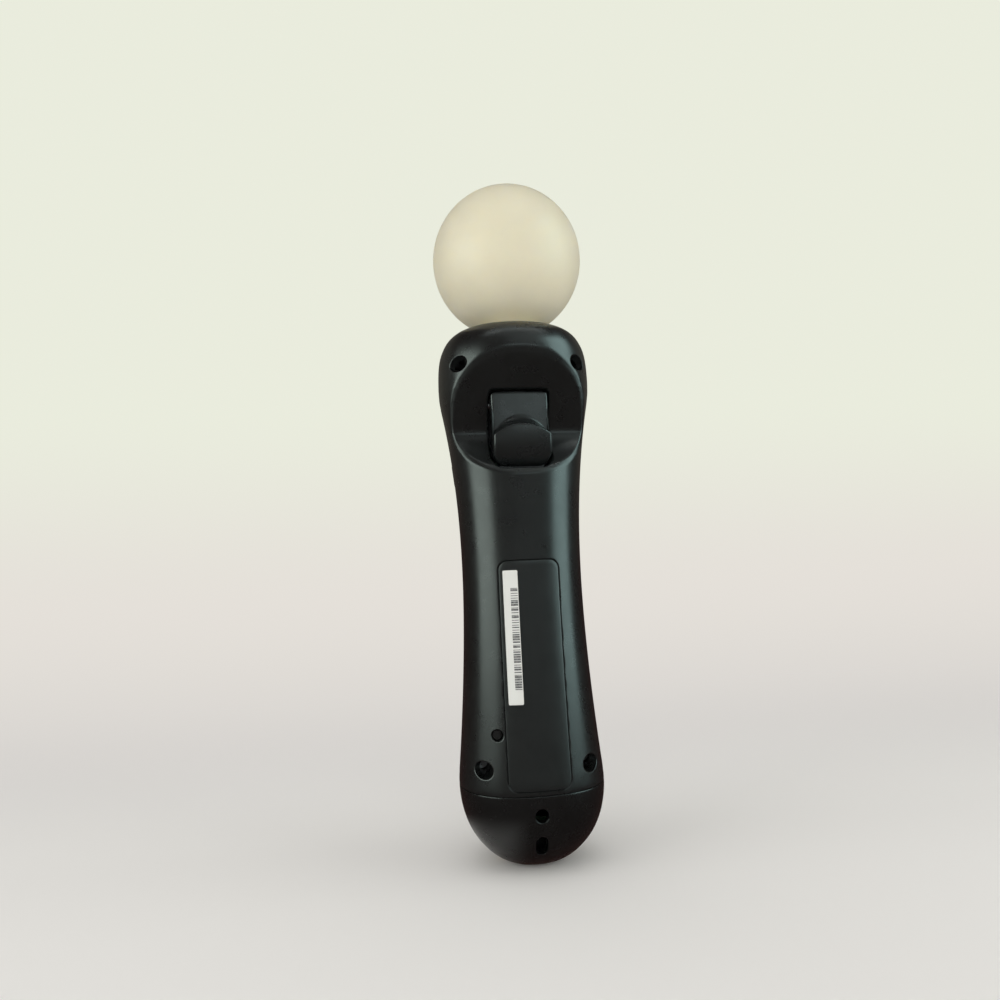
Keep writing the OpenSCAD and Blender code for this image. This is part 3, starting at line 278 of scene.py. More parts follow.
def grid_sheet(name: str, across: Array, along: Array) -> Piece:
    """Adds a flat grid with its lines at given places.

    Args:
        name: Name of the sheet.
        across: Places of the lines along X.
        along: Places of the lines along Y.

    Returns:
        The sheet, at height 0.
    """
    cells = {"x_subdivisions": len(across) - 1, "y_subdivisions": len(along) - 1}
    sheet = added(bpy.ops.mesh.primitive_grid_add, name, size=1, **cells)
    spots = places(sheet)
    columns = np.unique(np.round(spots[:, 0], 6), return_inverse=True)[1]
    rows = np.unique(np.round(spots[:, 1], 6), return_inverse=True)[1]
    move(sheet, np.stack([across[columns], along[rows], np.zeros(len(spots))], 1))
    return sheet


def ball_skin(name: str, rings: Array) -> Piece:
    """Shapes a sphere into a closed skin through rings, closed at the first and last ring's middle.

    Args:
        name: Name of the piece.
        rings: Points in millimetres, ring by ring.

    Returns:
        The closed piece.
    """
    count, sides = rings.shape[:2]
    piece = added(
        bpy.ops.mesh.primitive_uv_sphere_add, name, segments=sides, ring_count=count + 1, radius=1
    )
    spots = places(piece)
    ring = np.rint(np.arccos(np.clip(spots[:, 2], -1, 1)) / math.pi * (count + 1)).astype(int) - 1
    side = np.rint(np.arctan2(spots[:, 1], spots[:, 0]) / (2 * math.pi) * sides).astype(int) % sides
    shaped = rings[np.clip(ring, 0, count - 1), side]
    shaped[ring < 0] = rings[0].mean(0)
    shaped[ring >= count] = rings[-1].mean(0)
    move(piece, shaped * MM)
    face_outward(piece)
    return piece


def ring_skin(name: str, rings: Array) -> Piece:
    """Shapes a torus into a closed skin through rings, the last joined to the first.

    Args:
        name: Name of the piece.
        rings: Points in millimetres, ring by ring round the hole.

    Returns:
        The closed piece.
    """
    count, sides = rings.shape[:2]
    piece = added(
        bpy.ops.mesh.primitive_torus_add, name,
        major_segments=sides, minor_segments=count, major_radius=2, minor_radius=1,
    )
    spots = places(piece)
    round_it = np.arctan2(spots[:, 1], spots[:, 0]) / (2 * math.pi) * sides
    reach = np.hypot(spots[:, 0], spots[:, 1]) - 2
    turn = np.arctan2(spots[:, 2], reach) / (2 * math.pi) * count
    shaped = rings[np.rint(turn).astype(int) % count, np.rint(round_it).astype(int) % sides]
    move(piece, shaped * MM)
    face_outward(piece)
    return piece


# Finishes


class Paint:
    """A material that is put together node by node."""

    def __init__(self, name: str) -> None:
        """Starts an empty material."""
        self.material = bpy.data.materials.new(name)
        self.material.use_nodes = True
        self.tree = self.material.node_tree
        self.tree.nodes.clear()
        self.end = self.tree.nodes.new("ShaderNodeOutputMaterial")

    def add(self, kind: str, sockets: dict | None = None, **settings: object) -> bpy.types.Node:
        """Adds a node.

        Args:
            kind: Kind of the node.
            sockets: Values of its inputs, or the outputs that feed them.
            settings: Its settings.

        Returns:
            The node.
        """
        made = self.tree.nodes.new("ShaderNode" + kind)
        for key, value in settings.items():
            setattr(made, key, value)
        for key, value in (sockets or {}).items():
            if isinstance(value, Socket):
                self.tree.links.new(value, made.inputs[key])
            else:
                made.inputs[key].default_value = value
        return made

    def coordinates(self) -> Socket:
        """Returns places on the piece itself."""
        return self.add("TexCoord").outputs["Object"]

    def noise(self, where: Socket, size: float, detail: float = 3.0) -> Socket:
        """Returns soft blotches of a size in millimetres."""
        sockets = {"Vector": where, "Scale": 1.0 / (size * MM), "Detail": detail}
        return self.add("TexNoise", sockets).outputs[0]

    def spread(self, value: Socket, low: float, high: float) -> Socket:
        """Returns blotches stretched between two values."""
        sockets = {"Value": value, "From Min": 0.3, "From Max": 0.7, "To Min": low, "To Max": high}
        return self.add("MapRange", sockets).outputs[0]

    def maths(self, kind: str, *values: float | Socket) -> Socket:
        """Returns what an operation makes of numbers or outputs."""
        return self.add("Math", dict(enumerate(values)), operation=kind).outputs[0]

    def bump(self, height: Socket, strength: float, distance: float, **under: Socket) -> Socket:
        """Returns the surface's direction where a height in metres disturbs it."""
        sockets = {"Height": height, "Strength": strength, "Distance": distance, **under}
        return self.add("Bump", sockets).outputs[0]

    def blend(self, share: Socket, a: Colour | Socket, b: Colour | Socket) -> Socket:
        """Returns a colour between two others."""
        ends = {k: c if isinstance(c, Socket) else (*c, 1.0) for k, c in ((6, a), (7, b))}
        return self.add("Mix", {"Factor": share, **ends}, data_type="RGBA").outputs[2]

    def finish(self, shader: bpy.types.Node) -> Material:
        """Puts the shader on the surface and returns the material."""
        self.tree.links.new(shader.outputs[0], self.end.inputs["Surface"])
        return self.material

    def surface(self, sockets: dict) -> Material:
        """Returns the material with a surface of given values."""
        return self.finish(self.add("BsdfPrincipled", sockets))


class Finish:
    """A finish that pieces are given."""

    def build(self, name: str) -> Material:
        """Returns the finish as a new material."""
        raise NotImplementedError


@dataclass(frozen=True)
class Moulded(Finish):
    """Moulded plastic or rubber: slightly mottled, unevenly glossy, with a fine grain."""

    colour: Colour
    rough: float = 0.4
    uneven: float = 0.05
    mottle: float = 0.12
    grain: float = 0.06
    grain_size: float = 0.22
    wave: float = 0.0
    glow: float = 0.0

    def build(self, name: str) -> Material:
        """Returns the finish as a new material."""
        paint = Paint(name)
        where = paint.coordinates()
        low = tuple(c * (1.0 - self.mottle) for c in self.colour)
        high = tuple(c * (1.0 + self.mottle) for c in self.colour)
        shade = paint.blend(paint.spread(paint.noise(where, 9.0), 0.0, 1.0), low, high)
        gloss = paint.spread(paint.noise(where, 4.0, 5.0), self.rough - self.uneven, self.rough + self.uneven)
        normal = paint.bump(paint.noise(where, self.grain_size, 2.0), self.grain, 0.00004)
        if self.wave > 0.0:
            normal = paint.bump(paint.noise(where, 14.0, 1.0), self.wave, 0.0004, Normal=normal)
        sockets = {"Base Color": shade, "Roughness": gloss, "Normal": normal}
        if self.glow > 0.0:
            sockets.update({"Subsurface Weight": self.glow, "Subsurface Radius": (0.5, 0.4, 0.3)})
            sockets["Subsurface Scale"] = 0.004
        return paint.surface(sockets)


@dataclass(frozen=True)
class Metal(Finish):
    """Bare metal with fine lines and stains."""

    colour: Colour
    rough: float = 0.35
    lines: float = 0.15

    def build(self, name: str) -> Material:
        """Returns the finish as a new material."""
        paint = Paint(name)
        where = paint.coordinates()
        long = paint.add("Mapping", {"Vector": where, "Scale": (1.0, 12.0, 12.0)}).outputs[0]
        drawn = paint.noise(long, 2.0, 4.0)
        stained = tuple(c * 0.8 for c in self.colour)
        shade = paint.blend(paint.spread(paint.noise(where, 3.0), 0.0, 1.0), stained, self.colour)
        normal = paint.bump(drawn, self.lines, 0.00003)
        gloss = paint.spread(drawn, self.rough - 0.08, self.rough + 0.08)
        sockets = {"Base Color": shade, "Metallic": 1.0, "Roughness": gloss, "Normal": normal}
        return paint.surface(sockets)


@dataclass(frozen=True)
class Board(Finish):
    """Lacquered circuit board with thin tracks under the lacquer."""

    colour: Colour
    track: Colour
    pitch: float = 1.6

    def build(self, name: str) -> Material:
        """Returns the finish as a new material."""
        paint = Paint(name)
        where = paint.coordinates()
        turned = paint.add("Mapping", {"Vector": where, "Rotation": (math.pi / 2, 0.0, 0.0)}).outputs[0]
        tracks = paint.add(
            "TexBrick",
            {
                "Vector": turned,
                "Scale": 1.0 / (self.pitch * MM),
                "Mortar Size": 0.06,
                "Brick Width": 3.2,
                "Row Height": 0.7,
                "Color1": (*self.colour, 1.0),
                "Color2": (*(c * 0.85 for c in self.colour), 1.0),
                "Mortar": (*self.track, 1.0),
            },
        )
        gloss = paint.spread(paint.noise(where, 5.0), 0.25, 0.4)
        sockets = {"Base Color": tracks.outputs[0], "Roughness": gloss, "Coat Weight": 0.3}
        return paint.surface(sockets)


@dataclass(frozen=True)
class Barred(Finish):
    """White film with plain printed bars over part of it."""

    colour: Colour
    bar: Colour
    sides: Pair = (3.5, 5.4)
    ends: Pair = (48.4, 75.7)
    pitch: float = 0.66
    widths: Pair = (0.32, 0.85)

    def build(self, name: str) -> Material:
        """Returns the finish as a new material."""
        paint = Paint(name)
        where = paint.coordinates()
        split = paint.add("SeparateXYZ", {"Vector": where})
        x, z = split.outputs[0], split.outputs[2]
        lanes = paint.maths("DIVIDE", z, self.pitch * MM)
        lane = {"W": paint.maths("FLOOR", lanes)}
        chance = paint.add("TexWhiteNoise", lane, noise_dimensions="1D").outputs[0]
        inked = paint.maths("LESS_THAN", paint.maths("FRACT", lanes), paint.spread(chance, *self.widths))
        for socket, kind, edge in (
            (x, "GREATER_THAN", self.sides[0]),
            (x, "LESS_THAN", self.sides[1]),
            (z, "GREATER_THAN", self.ends[0]),
            (z, "LESS_THAN", self.ends[1]),
        ):
            inked = paint.maths("MULTIPLY", inked, paint.maths(kind, socket, edge * MM))
        worn = paint.maths("MULTIPLY", inked, paint.spread(paint.noise(where, 0.6), 0.75, 1.0))
        shade = paint.blend(worn, self.colour, self.bar)
        gloss = paint.spread(paint.noise(where, 2.0), 0.45, 0.6)
        normal = paint.bump(paint.noise(where, 0.5), 0.1, 0.00003)
        sockets = {"Base Color": shade, "Roughness": gloss, "Normal": normal}
        return paint.surface(sockets)


@dataclass(frozen=True)
class Silicone(Finish):
    """Soft translucent skin that light spreads in, with a faint dusty sheen."""

    colour: Colour
    depth: float = 5.0

    def build(self, name: str) -> Material:
        """Returns the finish as a new material."""
        paint = Paint(name)
        where = paint.coordinates()
        dusty = tuple(c * 0.94 for c in self.colour)
        shade = paint.blend(paint.spread(paint.noise(where, 12.0), 0.0, 1.0), dusty, self.colour)
        gloss = paint.spread(paint.noise(where, 6.0), 0.42, 0.56)
        sockets = {
            "Base Color": shade,
            "Roughness": gloss,
            "Normal": paint.bump(paint.noise(where, 0.4, 2.0), 0.05, 0.00004),
            "Subsurface Weight": 0.6,
            "Subsurface Radius": (1.0, 0.85, 0.55),
            "Subsurface Scale": self.depth * MM,
            "Specular IOR Level": 0.35,
        }
        return paint.surface(sockets)


class Slot(Enum):
    """Finishes of the wand's pieces, by the name of their slot."""

    BALL = "ball_skin"
    WHITE = "white_plastic"
    BOARD = "board_green"
    STEEL = "steel"
    RIBBON = "ribbon_amber"
    CASE = "case_black"
    CAP = "cap_black"
    LABEL = "label_black"
    STICKER = "sticker_white"
    TRIGGER = "trigger_black"
    PAD = "pad_rubber"
    BUTTON = "button_black"
    LENS = "lens_clear"
    FRAME = "frame_grey"
    CHIP = "chip_black"
    BATTERY = "battery_wrap"
    LEAD = "lead_red"
    BOOT = "boot_rubber"
    WEIGHT = "weight_metal"
    GOLD = "contact_gold"


FINISHES: dict[Slot, Finish] = {
    Slot.BALL: Silicone((0.675, 0.63, 0.485)),
    Slot.WHITE: Moulded((0.72, 0.72, 0.70), rough=0.45, glow=0.1),
    Slot.BOARD: Board((0.012, 0.09, 0.035), (0.03, 0.16, 0.06)),
    Slot.STEEL: Metal((0.56, 0.56, 0.57)),
    Slot.RIBBON: Moulded((0.45, 0.20, 0.05), rough=0.3),
    Slot.CASE: Moulded((0.0068, 0.0078, 0.0078), rough=0.29, uneven=0.03, grain=0.03, wave=0.02),
    Slot.CAP: Moulded((0.0052, 0.0057, 0.0057), rough=0.26, uneven=0.03, grain=0.03, wave=0.02),
    Slot.LABEL: Moulded((0.0080, 0.0095, 0.0096), rough=0.33, uneven=0.03, grain=0.03, wave=0.02),
    Slot.STICKER: Barred((0.60, 0.61, 0.59), (0.05, 0.05, 0.055)),
    Slot.TRIGGER: Moulded((0.0080, 0.0096, 0.0098), rough=0.28, uneven=0.03, grain=0.03),
    Slot.PAD: Moulded((0.03, 0.03, 0.032), rough=0.7),
    Slot.BUTTON: Moulded((0.0095, 0.0102, 0.0104), rough=0.32, uneven=0.03, grain=0.03),
    Slot.LENS: Moulded((0.55, 0.60, 0.57), rough=0.15, glow=0.4),
    Slot.FRAME: Moulded((0.07, 0.07, 0.075), rough=0.5),
    Slot.CHIP: Moulded((0.012, 0.012, 0.013), rough=0.5),
    Slot.BATTERY: Moulded((0.05, 0.12, 0.26), rough=0.3),
    Slot.LEAD: Moulded((0.40, 0.02, 0.02), rough=0.4),
    Slot.BOOT: Moulded((0.02, 0.02, 0.021), rough=0.75),
    Slot.WEIGHT: Metal((0.38, 0.37, 0.36), rough=0.45),
    Slot.GOLD: Metal((0.80, 0.58, 0.22), rough=0.28, lines=0.05),
}


class Finishes:
    """The wand's materials, each made once and given to pieces by their slot."""

    def __init__(self) -> None:
        """Makes every material."""
        self.materials = {slot: FINISHES[slot].build(slot.value) for slot in Slot}

    def give(self, piece: Piece, slot: Slot) -> None:
        """Gives a piece its material."""
        piece.data.materials.clear()
        piece.data.materials.append(self.materials[slot])

    def dress(self, piece: Piece, slot: Slot, body: str, node: str) -> None:
        """Finishes a new piece that stands for a node.

        Args:
            piece: The new piece.
            slot: Its finish.
            body: The body that it rides on.
            node: The node that it stands for.
        """
        self.give(piece, slot)
        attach(piece, body)
        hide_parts(node)
        LOG.info("%s: %d faces", piece.name, len(piece.data.polygons))


# Casing


@dataclass(frozen=True)
class Outline:
    """The casing's outline in millimetres: a waisted grip with a groove across the back of its head."""

    widths: tuple[float, float, float] = (22.7, 17.4563, 20.60025)
    back_share: float = 0.93
    front_share: float = 0.86
    dome_z: float = -0.8
    bulb_z: float = 22.5
    waist_z: float = 77.05
    head_z: float = 132.7
    crown_z: float = 153.2
    wall: float = 2.0
    section: float = 2.25
    groove_z: float = 120.8
    groove_top: float = 141.7
    groove_bottom: float = 107.9
    groove_floor: float = 7.9
    groove_bend: float = 0.001
    groove_edge: float = 0.3
    groove_rim: float = 0.5
    groove_powers: Pair = (1.3, 1.5)
    groove_span: Pair = (100.0, 148.0)
    bulb_power: float = 2.2
    grip_power: float = 1.75
    neck_power: float = 2.2
    crown_power: float = 4.5

    def share(self, back: bool) -> float:
        """Returns how deep the back or the front is as a share of the half width."""
        return self.back_share if back else self.front_share

    def raw_size(self, z: Array, share: float, inset: Array) -> Array:
        """Returns the half size at a height before its joins are softened."""
        head, waist, bulb = (w * share for w in self.widths)
        low = (bulb - inset) * arch((self.bulb_z - z) / (self.bulb_z - self.dome_z - inset), self.bulb_power)
        t = np.clip((self.waist_z - z) / (self.waist_z - self.bulb_z), 0.0, 1.0)
        grip = waist - inset + (bulb - waist) * t**self.grip_power
        s = np.clip((z - self.waist_z) / (self.head_z - self.waist_z), 0.0, 1.0)
        neck = waist - inset + (head - waist) * s**self.neck_power
        rise = (z - self.head_z) / (self.crown_z - self.head_z - inset)
        crown = (head - inset) * arch(rise, self.crown_power)
        return np.select([z < self.bulb_z, z < self.waist_z, z < self.head_z], [low, grip, neck], crown)

    def half_size(self, z: Array, share: float, inset: Array | float = 0.0) -> Array:
        """Returns the half size at a height.

        Args:
            z: Height above the foot.
            share: Share of the half width: 1 sideways, less to the back and front.
            inset: How far the surface is moved in.

        Returns:
            The half size.
        """
        room = np.minimum((z - self.dome_z - inset) / 2.0, (self.crown_z - inset - z) / 2.0)
        ease = np.clip(room, 0.0, 3.0)
        sides = self.raw_size(z - ease, share, inset) + self.raw_size(z + ease, share, inset)
        return (sides + 2.0 * self.raw_size(z, share, inset)) / 4.0

    def groove_y(self, x: Array, z: Array) -> Array:
        """Returns how far back the groove's floor lies."""
        top, low = (
            float(self.half_size(np.array(h), self.back_share)) - self.groove_floor
            for h in (self.groove_top, self.groove_bottom)
        )
        up = np.clip((z - self.groove_z) / (self.groove_top - self.groove_z), 0.0, None)
        down = np.clip((self.groove_z - z) / (self.groove_z - self.groove_bottom), 0.0, None)
        rise, fall = self.groove_powers
        line = np.where(z > self.groove_z, top * up**rise, low * down**fall)
        return self.groove_floor + line - self.groove_bend * x * x

    def depth(self, x: Array, z: Array, back: bool, inset: Array | float = 0.0, groove: bool = True) -> Array:
        """Returns how far the surface lies from the seam at a sideways place and a height."""
        side = np.maximum(self.half_size(z, 1.0, inset), 1e-6)
        plain = self.half_size(z, self.share(back), inset) * arch(np.abs(x) / side, self.section)
        if not (back and groove):
            return plain
        return self.grooved(plain, self.groove_y(x, z) - inset)

    def skin(self, x: float, z: float, back: bool) -> float:
        """Returns where the surface lies at a sideways place and a height, less than 0 in front."""
        deep = float(self.depth(np.array(x), np.array(z), back))
        return deep if back else -deep

    def grooved(self, plain: Array, floor: Array) -> Array:
        """Returns the surface where the groove cuts the plain back, with a sloped rim between them."""
        rim = (plain + floor) / 2.0 - self.groove_rim
        return smooth_min(np.minimum(plain, floor), rim, self.groove_edge)

    def groove_gap(self, x: Array, z: Array) -> Array:
        """Returns how far apart the groove's floor and the plain back lie, 0 along the groove's edge."""
        return self.depth(x, z, True, groove=False) - self.groove_y(x, z)

    def hit(self, starts: Array, axis: Array, reach: float = 9.0) -> Array:
        """Returns how far along an axis lines leave the casing.

        Args:
            starts: Points near the surface.
            axis: Direction that points out of the casing.
            reach: Distance searched to both sides.

        Returns:
            Distances from the points to the surface.
        """
        low, high = np.full(len(starts), -reach), np.full(len(starts), reach)
        for _ in range(44):
            middle = (low + high) / 2.0
            p = starts + middle[:, None] * axis
            back = self.depth(p[:, 0], p[:, 2], True)
            front = self.depth(p[:, 0], p[:, 2], False)
            inside = np.where(p[:, 1] > 0.0, back, front) > np.abs(p[:, 1])
            low, high = np.where(inside, middle, low), np.where(inside, high, middle)
        return (low + high) / 2.0


@dataclass(frozen=True)
class Opening:
    """A hole through the casing, with a rounded mouth and a wall that runs in."""

    origin: Point
    axis: Point
    across: Point
    outline: Array
    mouth: float = 0.3
    reach: float = 2.4
    floor: float | None = None

    def place(self, flat: Array) -> Array:
        """Returns where points of the hole's own plane lie."""
        up = np.cross(np.array(self.axis), np.array(self.across))
        return np.array(self.origin) + flat[:, :1] * np.array(self.across) + flat[:, 1:] * up

    def ring(self, casing: Outline, out: float, drop: Array | float) -> Array:
        """Returns a ring of points round the hole.

        Args:
            casing: The casing that the hole is in.
            out: How far outside the hole's outline the ring lies.
            drop: How far below the surface it lies.

        Returns:
            The points.
        """
        starts = self.place(grown(self.outline, out))
        axis = np.array(self.axis)
        return starts + (casing.hit(starts, axis) - drop)[:, None] * axis

    def liner(self, name: str, casing: Outline) -> Piece:
        """Returns the rounded mouth and the wall behind it as a closed ring."""
        r = self.mouth
        turn = np.radians(np.linspace(0.0, 90.0, 6))
        rings = [self.ring(casing, r - r * math.sin(t), r - r * math.cos(t)) for t in turn]
        ends = [self.ring(casing, 0.0, self.reach), self.ring(casing, r - 0.02, self.reach)]
        if self.floor is not None:
            axis = np.array(self.axis)
            for end in ends:
                end += ((self.floor - (end - np.array(self.origin)) @ axis))[:, None] * axis
        rings += [*ends, self.ring(casing, r - 0.02, 0.04)]
        return ring_skin(name, np.array(rings))


@dataclass
class CasingHalf:
    """Half of the casing, laid out flat by angle and by run up the side, cut there, and then wrapped."""

    casing: Outline
    back: bool
    low: float = 21.4
    neck: float = 11.34
    round_edge: float = 0.22
    spread: float = 0.36
    cell: float = 1.0
    label: "Label | None" = None
    holes: list[Opening] = field(default_factory=list)

    def __post_init__(self) -> None:
        """Measures the run up the side and where each angle meets the neck."""
        heights = np.linspace(self.low, self.casing.crown_z - 1e-4, 6000)
        sizes = self.casing.half_size(heights, 1.0)
        steps = np.hypot(np.diff(heights), np.diff(sizes))
        self.heights, self.runs = heights, np.concatenate([[0.0], np.cumsum(steps)])
        self.turn = np.linspace(0.0, 180.0, 361)
        low = np.full(361, self.casing.head_z)
        high = np.full(361, self.casing.crown_z - 1e-3)
        for _ in range(50):
            middle = (low + high) / 2.0
            x, y = self.ring_xy(middle, self.turn, 0.0)
            wide = np.hypot(x, y) > self.neck
            low, high = np.where(wide, middle, low), np.where(wide, high, middle)
        self.tops = np.interp(low, self.heights, self.runs)
        self.head_run = float(np.interp(self.casing.head_z, self.heights, self.runs))
        self.top_run = float(self.tops.max())

    def ring_xy(self, z: Array, angle: Array, inset: Array | float) -> tuple[Array, Array]:
        """Returns sideways place and depth at a height and angle, without the groove."""
        turn = np.radians(angle)
        share = self.casing.share(self.back)
        x = self.casing.half_size(z, 1.0, inset) * spow(np.cos(turn), 2 / self.casing.section)
        y = self.casing.half_size(z, share, inset) * np.abs(np.sin(turn)) ** (2 / self.casing.section)
        return x, y

    def height(self, u: Array, v: Array) -> Array:
        """Returns the height at a place of the flat layout."""
        tops = np.interp(u / self.spread, self.turn, self.tops)
        share = np.clip((v - self.head_run) / (self.top_run - self.head_run), 0.0, None)
        run = np.where(v > self.head_run, self.head_run + share * (tops - self.head_run), v)
        return np.interp(run, self.runs, self.heights)

    def wrap(self, u: Array, v: Array, deep: Array) -> Array:
        """Returns the places in millimetres of points of the flat layout.

        Args:
            u: Places by angle.
            v: Places by run.
            deep: Whether each point lies on the inner surface.

        Returns:
            The points.
        """
        angle, z = u / self.spread, self.height(u, v)
        wide = 180.0 * self.spread
        edge = np.minimum(np.minimum(u, wide - u), v)
        inset = np.where(deep, self.casing.wall, rounding(edge, self.round_edge))
        if self.label is not None:
            flat_x, _ = self.ring_xy(z, angle, 0.0)
            inset = inset + np.where(deep, 0.0, self.label.recess(flat_x, z))
        crown = self.casing.crown_z - self.casing.head_z
        shrunk = self.casing.head_z + (z - self.casing.head_z) * (crown - self.casing.wall) / crown
        z = np.where(deep & (z > self.casing.head_z), shrunk, z)
        x, y = self.ring_xy(z, angle, inset)
        if self.back:
            y = self.casing.grooved(y, self.casing.groove_y(x, z) - inset)
        radius = np.hypot(x, y)
        clear = self.neck + 0.02
        wider = np.where(deep & (radius < clear), clear / np.maximum(radius, 1e-6), 1.0)
        z = z - np.where(deep, 0.0, rounding(self.top_run - v, 2 * self.round_edge))
        side = 1.0 if self.back else -1.0
        return np.stack([x * wider, side * y * wider, z], 1)

    def unwrap(self, points: Array) -> Array:
        """Returns the flat places of points on the surface."""
        x, y, z = points[:, 0], np.abs(points[:, 1]), points[:, 2]
        share = self.casing.share(self.back)
        power = self.casing.section / 2
        cosine = np.clip(spow(x / self.casing.half_size(z, 1.0), power), -1.0, 1.0)
        if self.back:
            angle = np.degrees(np.arccos(cosine))
        else:
            angle = np.degrees(np.arctan2(np.abs(y / self.casing.half_size(z, share)) ** power, cosine))
        run = np.interp(z, self.heights, self.runs)
        tops = np.interp(angle, self.turn, self.tops)
        share = (run - self.head_run) / (tops - self.head_run)
        high = self.head_run + share * (self.top_run - self.head_run)
        return np.stack([angle * self.spread, np.where(run > self.head_run, high, run)], 1)

    def refine(self, sheet: Piece, near: Callable[[Array, Array], Array], cuts: int) -> None:
        """Splits the cells of the flat sheet where a test on sideways place and height holds."""
        mesh = sheet.data
        flat = np.empty(len(mesh.polygons) * 3, np.float32)
        mesh.polygons.foreach_get("center", flat)
        centre = flat.reshape(-1, 3).astype(float)
        p = self.wrap(centre[:, 0], centre[:, 1], np.zeros(len(centre), bool))
        chosen = near(p[:, 0], p[:, 2])
        mesh.vertices.foreach_set("select", np.zeros(len(mesh.vertices), bool))
        mesh.edges.foreach_set("select", np.zeros(len(mesh.edges), bool))
        mesh.polygons.foreach_set("select", chosen)
        bpy.context.tool_settings.mesh_select_mode = (False, False, True)
        edit(sheet, lambda: bpy.ops.mesh.subdivide(number_cuts=cuts), everything=False)

    def lines(self, length: float, ends: tuple[bool, bool]) -> Array:
        """Returns grid lines over a length, closer together at rounded ends."""
        r = self.round_edge
        bend = 1.0 - np.cos(np.radians([0.0, 20.0, 40.0, 60.0, 80.0]))
        close = r * bend / (1 - math.cos(math.radians(80)))
        start = close if ends[0] else np.array([0.0])
        stop = length - (2 * close if ends[1] else np.array([0.0]))
        count = int((length - 2 * r) / self.cell)
        middle = np.linspace(start.max(), stop.min(), count)
        return np.unique(np.round(np.concatenate([start, middle, stop]), 5))

    def build(self, name: str) -> Piece:
        """Returns the half as a closed piece with all its holes."""
        across = self.lines(180.0 * self.spread, (True, False))
        across = np.unique(np.round(np.concatenate([across, 180.0 * self.spread - across[:5]]), 5))
        sheet = grid_sheet(name, across, self.lines(self.top_run, (True, True)))
        casing = self.casing
        if self.back:
            self.refine(sheet, lambda x, z: self.on_edge(x, z, 1.0), 4)
        if self.label is not None:
            self.refine(sheet, lambda x, z: np.abs(self.label.outside(x, z)) < 0.75, 4)
        bpy.context.tool_settings.mesh_select_mode = (True, False, False)
        edit(sheet, lambda: bpy.ops.mesh.extrude_region_move(TRANSFORM_OT_translate={"value": (0, 0, 1)}))
        face_outward(sheet)
        curves = [self.unwrap(hole.ring(casing, hole.mouth, 0.0)) for hole in self.holes]
        outlines = [np.column_stack([curve, np.full(len(curve), -1.0)]) for curve in curves]
        cut_away(sheet, prisms(outlines, [np.array([0.0, 0.0, 3.0])] * len(outlines)))
        flat = places(sheet)
        move(sheet, self.wrap(flat[:, 0], flat[:, 1], flat[:, 2] > 0.5) * MM)
        face_outward(sheet)
        join(sheet, [hole.liner(f"{name}_mouth_{k}", casing) for k, hole in enumerate(self.holes)])
        soften(sheet)
        return sheet

    def on_edge(self, x: Array, z: Array, width: float) -> Array:
        """Returns whether places lie near the groove's edge."""
        gap = self.casing.groove_gap(x, z)
        step = 0.05
        slope_x = (self.casing.groove_gap(x + step, z) - self.casing.groove_gap(x - step, z)) / (2 * step)
        slope_z = (self.casing.groove_gap(x, z + step) - self.casing.groove_gap(x, z - step)) / (2 * step)
        near = np.abs(gap) / np.maximum(np.hypot(slope_x, slope_z), 0.2) < width + 0.8
        low, high = self.casing.groove_span
        return near & (np.abs(x) < self.casing.half_size(z, 1.0) - 1.0) & (z > low) & (z < high)


@dataclass(frozen=True)
class BackHoles:
    """The holes in the back: four for screws, one for resetting and the trigger's window."""

    screws: tuple[Pair, ...] = ((17.2066, 139.5), (14.4202, 27.7))
    screw_r: float = 2.25
    screw_floor: float = 1.5
    reset: Pair = (10.5885, 36.7)
    reset_r: float = 1.5
    window: Pair = (17.9, 23.5)
    window_corners: Pair = (1.5, 3.9)
    window_spot: Point = (0.0, 11.0, 120.6)

    def openings(self, casing: Outline) -> list[Opening]:
        """Returns all the holes."""
        found = []
        for x, z in self.screws:
            deep = casing.skin(x, z, True)
            for side in (1.0, -1.0):
                bore = circle_outline(self.screw_r, 56)
                spot = (side * x, deep, z)
                found.append(Opening(spot, TO_BACK, BACK_ACROSS, bore, floor=self.screw_floor - deep))
        x, z = self.reset
        spot, bore = (x, casing.skin(x, z, True), z), circle_outline(self.reset_r, 40)
        found.append(Opening(spot, TO_BACK, BACK_ACROSS, bore, mouth=0.25, reach=3.0))
        high, low = self.window_corners
        window = round_outline(*self.window, high, 0.35, low_radius=low)
        found.append(Opening(self.window_spot, TO_BACK, BACK_ACROSS, window, mouth=0.4, reach=2.2))
        return found


